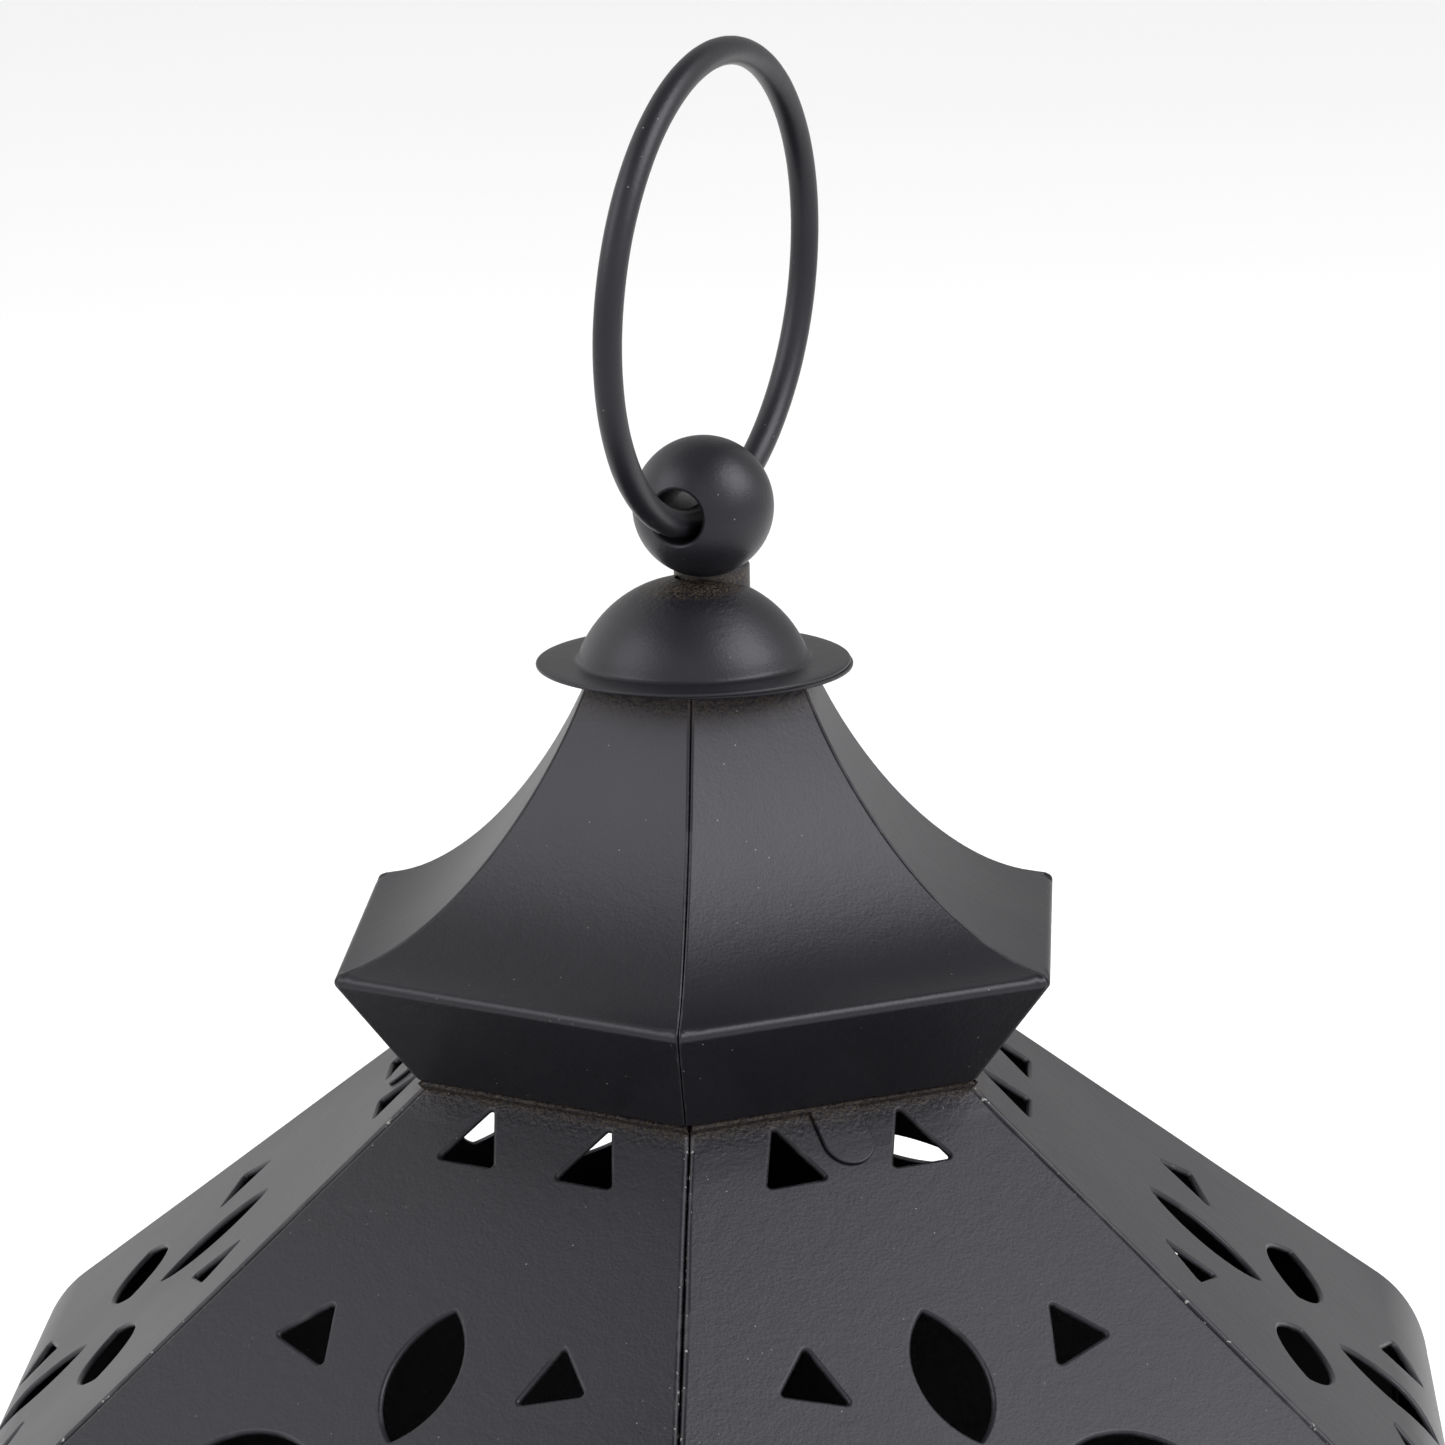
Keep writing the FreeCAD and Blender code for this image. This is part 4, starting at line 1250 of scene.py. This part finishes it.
def make_floor():
    mesh = bpy.data.meshes.new("floor")
    size = 12.0
    corners = [(-size, -size, 0), (size, -size, 0), (size, size, 0), (-size, size, 0)]
    mesh.from_pydata(corners, [], [(0, 1, 2, 3)])
    nodes = Nodes(bpy.data.materials.new("floor_paper"))
    nodes.shade(Base_Color=nodes.mix(nodes.noise(3, 2), PAPER_DARK, PAPER_LIGHT), Roughness=0.9)
    mesh.materials.append(nodes.owner)
    floor = add("floor", mesh)


def make_light():
    scene = bpy.context.scene
    scene.view_settings.view_transform = "Standard"
    world = bpy.data.worlds.new("studio")
    scene.world = world
    fill_studio(Nodes(world, "Background"))
    for box in SOFTBOXES:
        softbox(*box)


def direction(azimuth, elevation):
    """A unit vector from two angles in degrees, the first from the camera's side."""
    turn = VIEW_AZIMUTH + math.radians(azimuth)
    rise = math.radians(elevation)
    return Vector((math.sin(turn) * math.cos(rise), -math.cos(turn) * math.cos(rise), math.sin(rise)))


def fill_studio(nodes):
    """The studio's brightness, darker overhead and behind the lantern."""
    coordinates = nodes.node("TexCoord").outputs["Generated"]
    light = 1.0
    for azimuth, elevation, start, full, left in SHADES:
        product = nodes.node("VectorMath")
        product.operation = "DOT_PRODUCT"
        nodes.put(coordinates, product.inputs[0])
        nodes.put(direction(azimuth, elevation), product.inputs[1])
        shaded = nodes.range(product.outputs["Value"], start, full, 1.0, left, "SMOOTHSTEP")
        light = nodes.math("MULTIPLY", light, shaded)
    nodes.shade(Color=(1, 1, 1), Strength=nodes.range(light, 0, 1, 0, SKY))


def softbox(name, azimuth, elevation, distance, size, power):
    """A square light, placed by angles from the camera's side, aimed at the cap."""
    light = bpy.data.lights.new(name, "AREA")
    light.size = size
    light.energy = power
    holder = add(name, light)
    way = direction(azimuth, elevation)
    holder.location = way * distance + Vector((0, 0, RIM * MM))
    holder.rotation_euler = way.to_track_quat("Z", "Y").to_euler()


def main():
    black = paint("black_paint")
    body_paint = paint("black_paint_body", BODY_GRIME)
    cap_paint = paint("black_paint_cap", CAP_GRIME)
    finial_paint = paint("black_paint_finial", FINIAL_GRIME)
    bare = steel("plain_steel")
    ivory = wax("candle_wax")
    braid = cotton("cotton_wick")
    finishes = {"black_paint": black, "plain_steel": bare, "candle_wax": ivory, "cotton_wick": braid}
    for node, piece in frame["nodes"].items():
        piece.data.materials.clear()
        piece.data.materials.append(finishes[SLOTS[node]])
        soften(piece)
    make_camera()
    make_floor()
    make_light()
    make_body(body_paint)
    make_cap(cap_paint)
    make_collar(body_paint)
    make_finial(black, finial_paint)
    make_ring(black)
    make_door(black)
    make_rivets(black)
    make_candle(ivory)
    make_wick(braid)
    make_dish(black)


main()
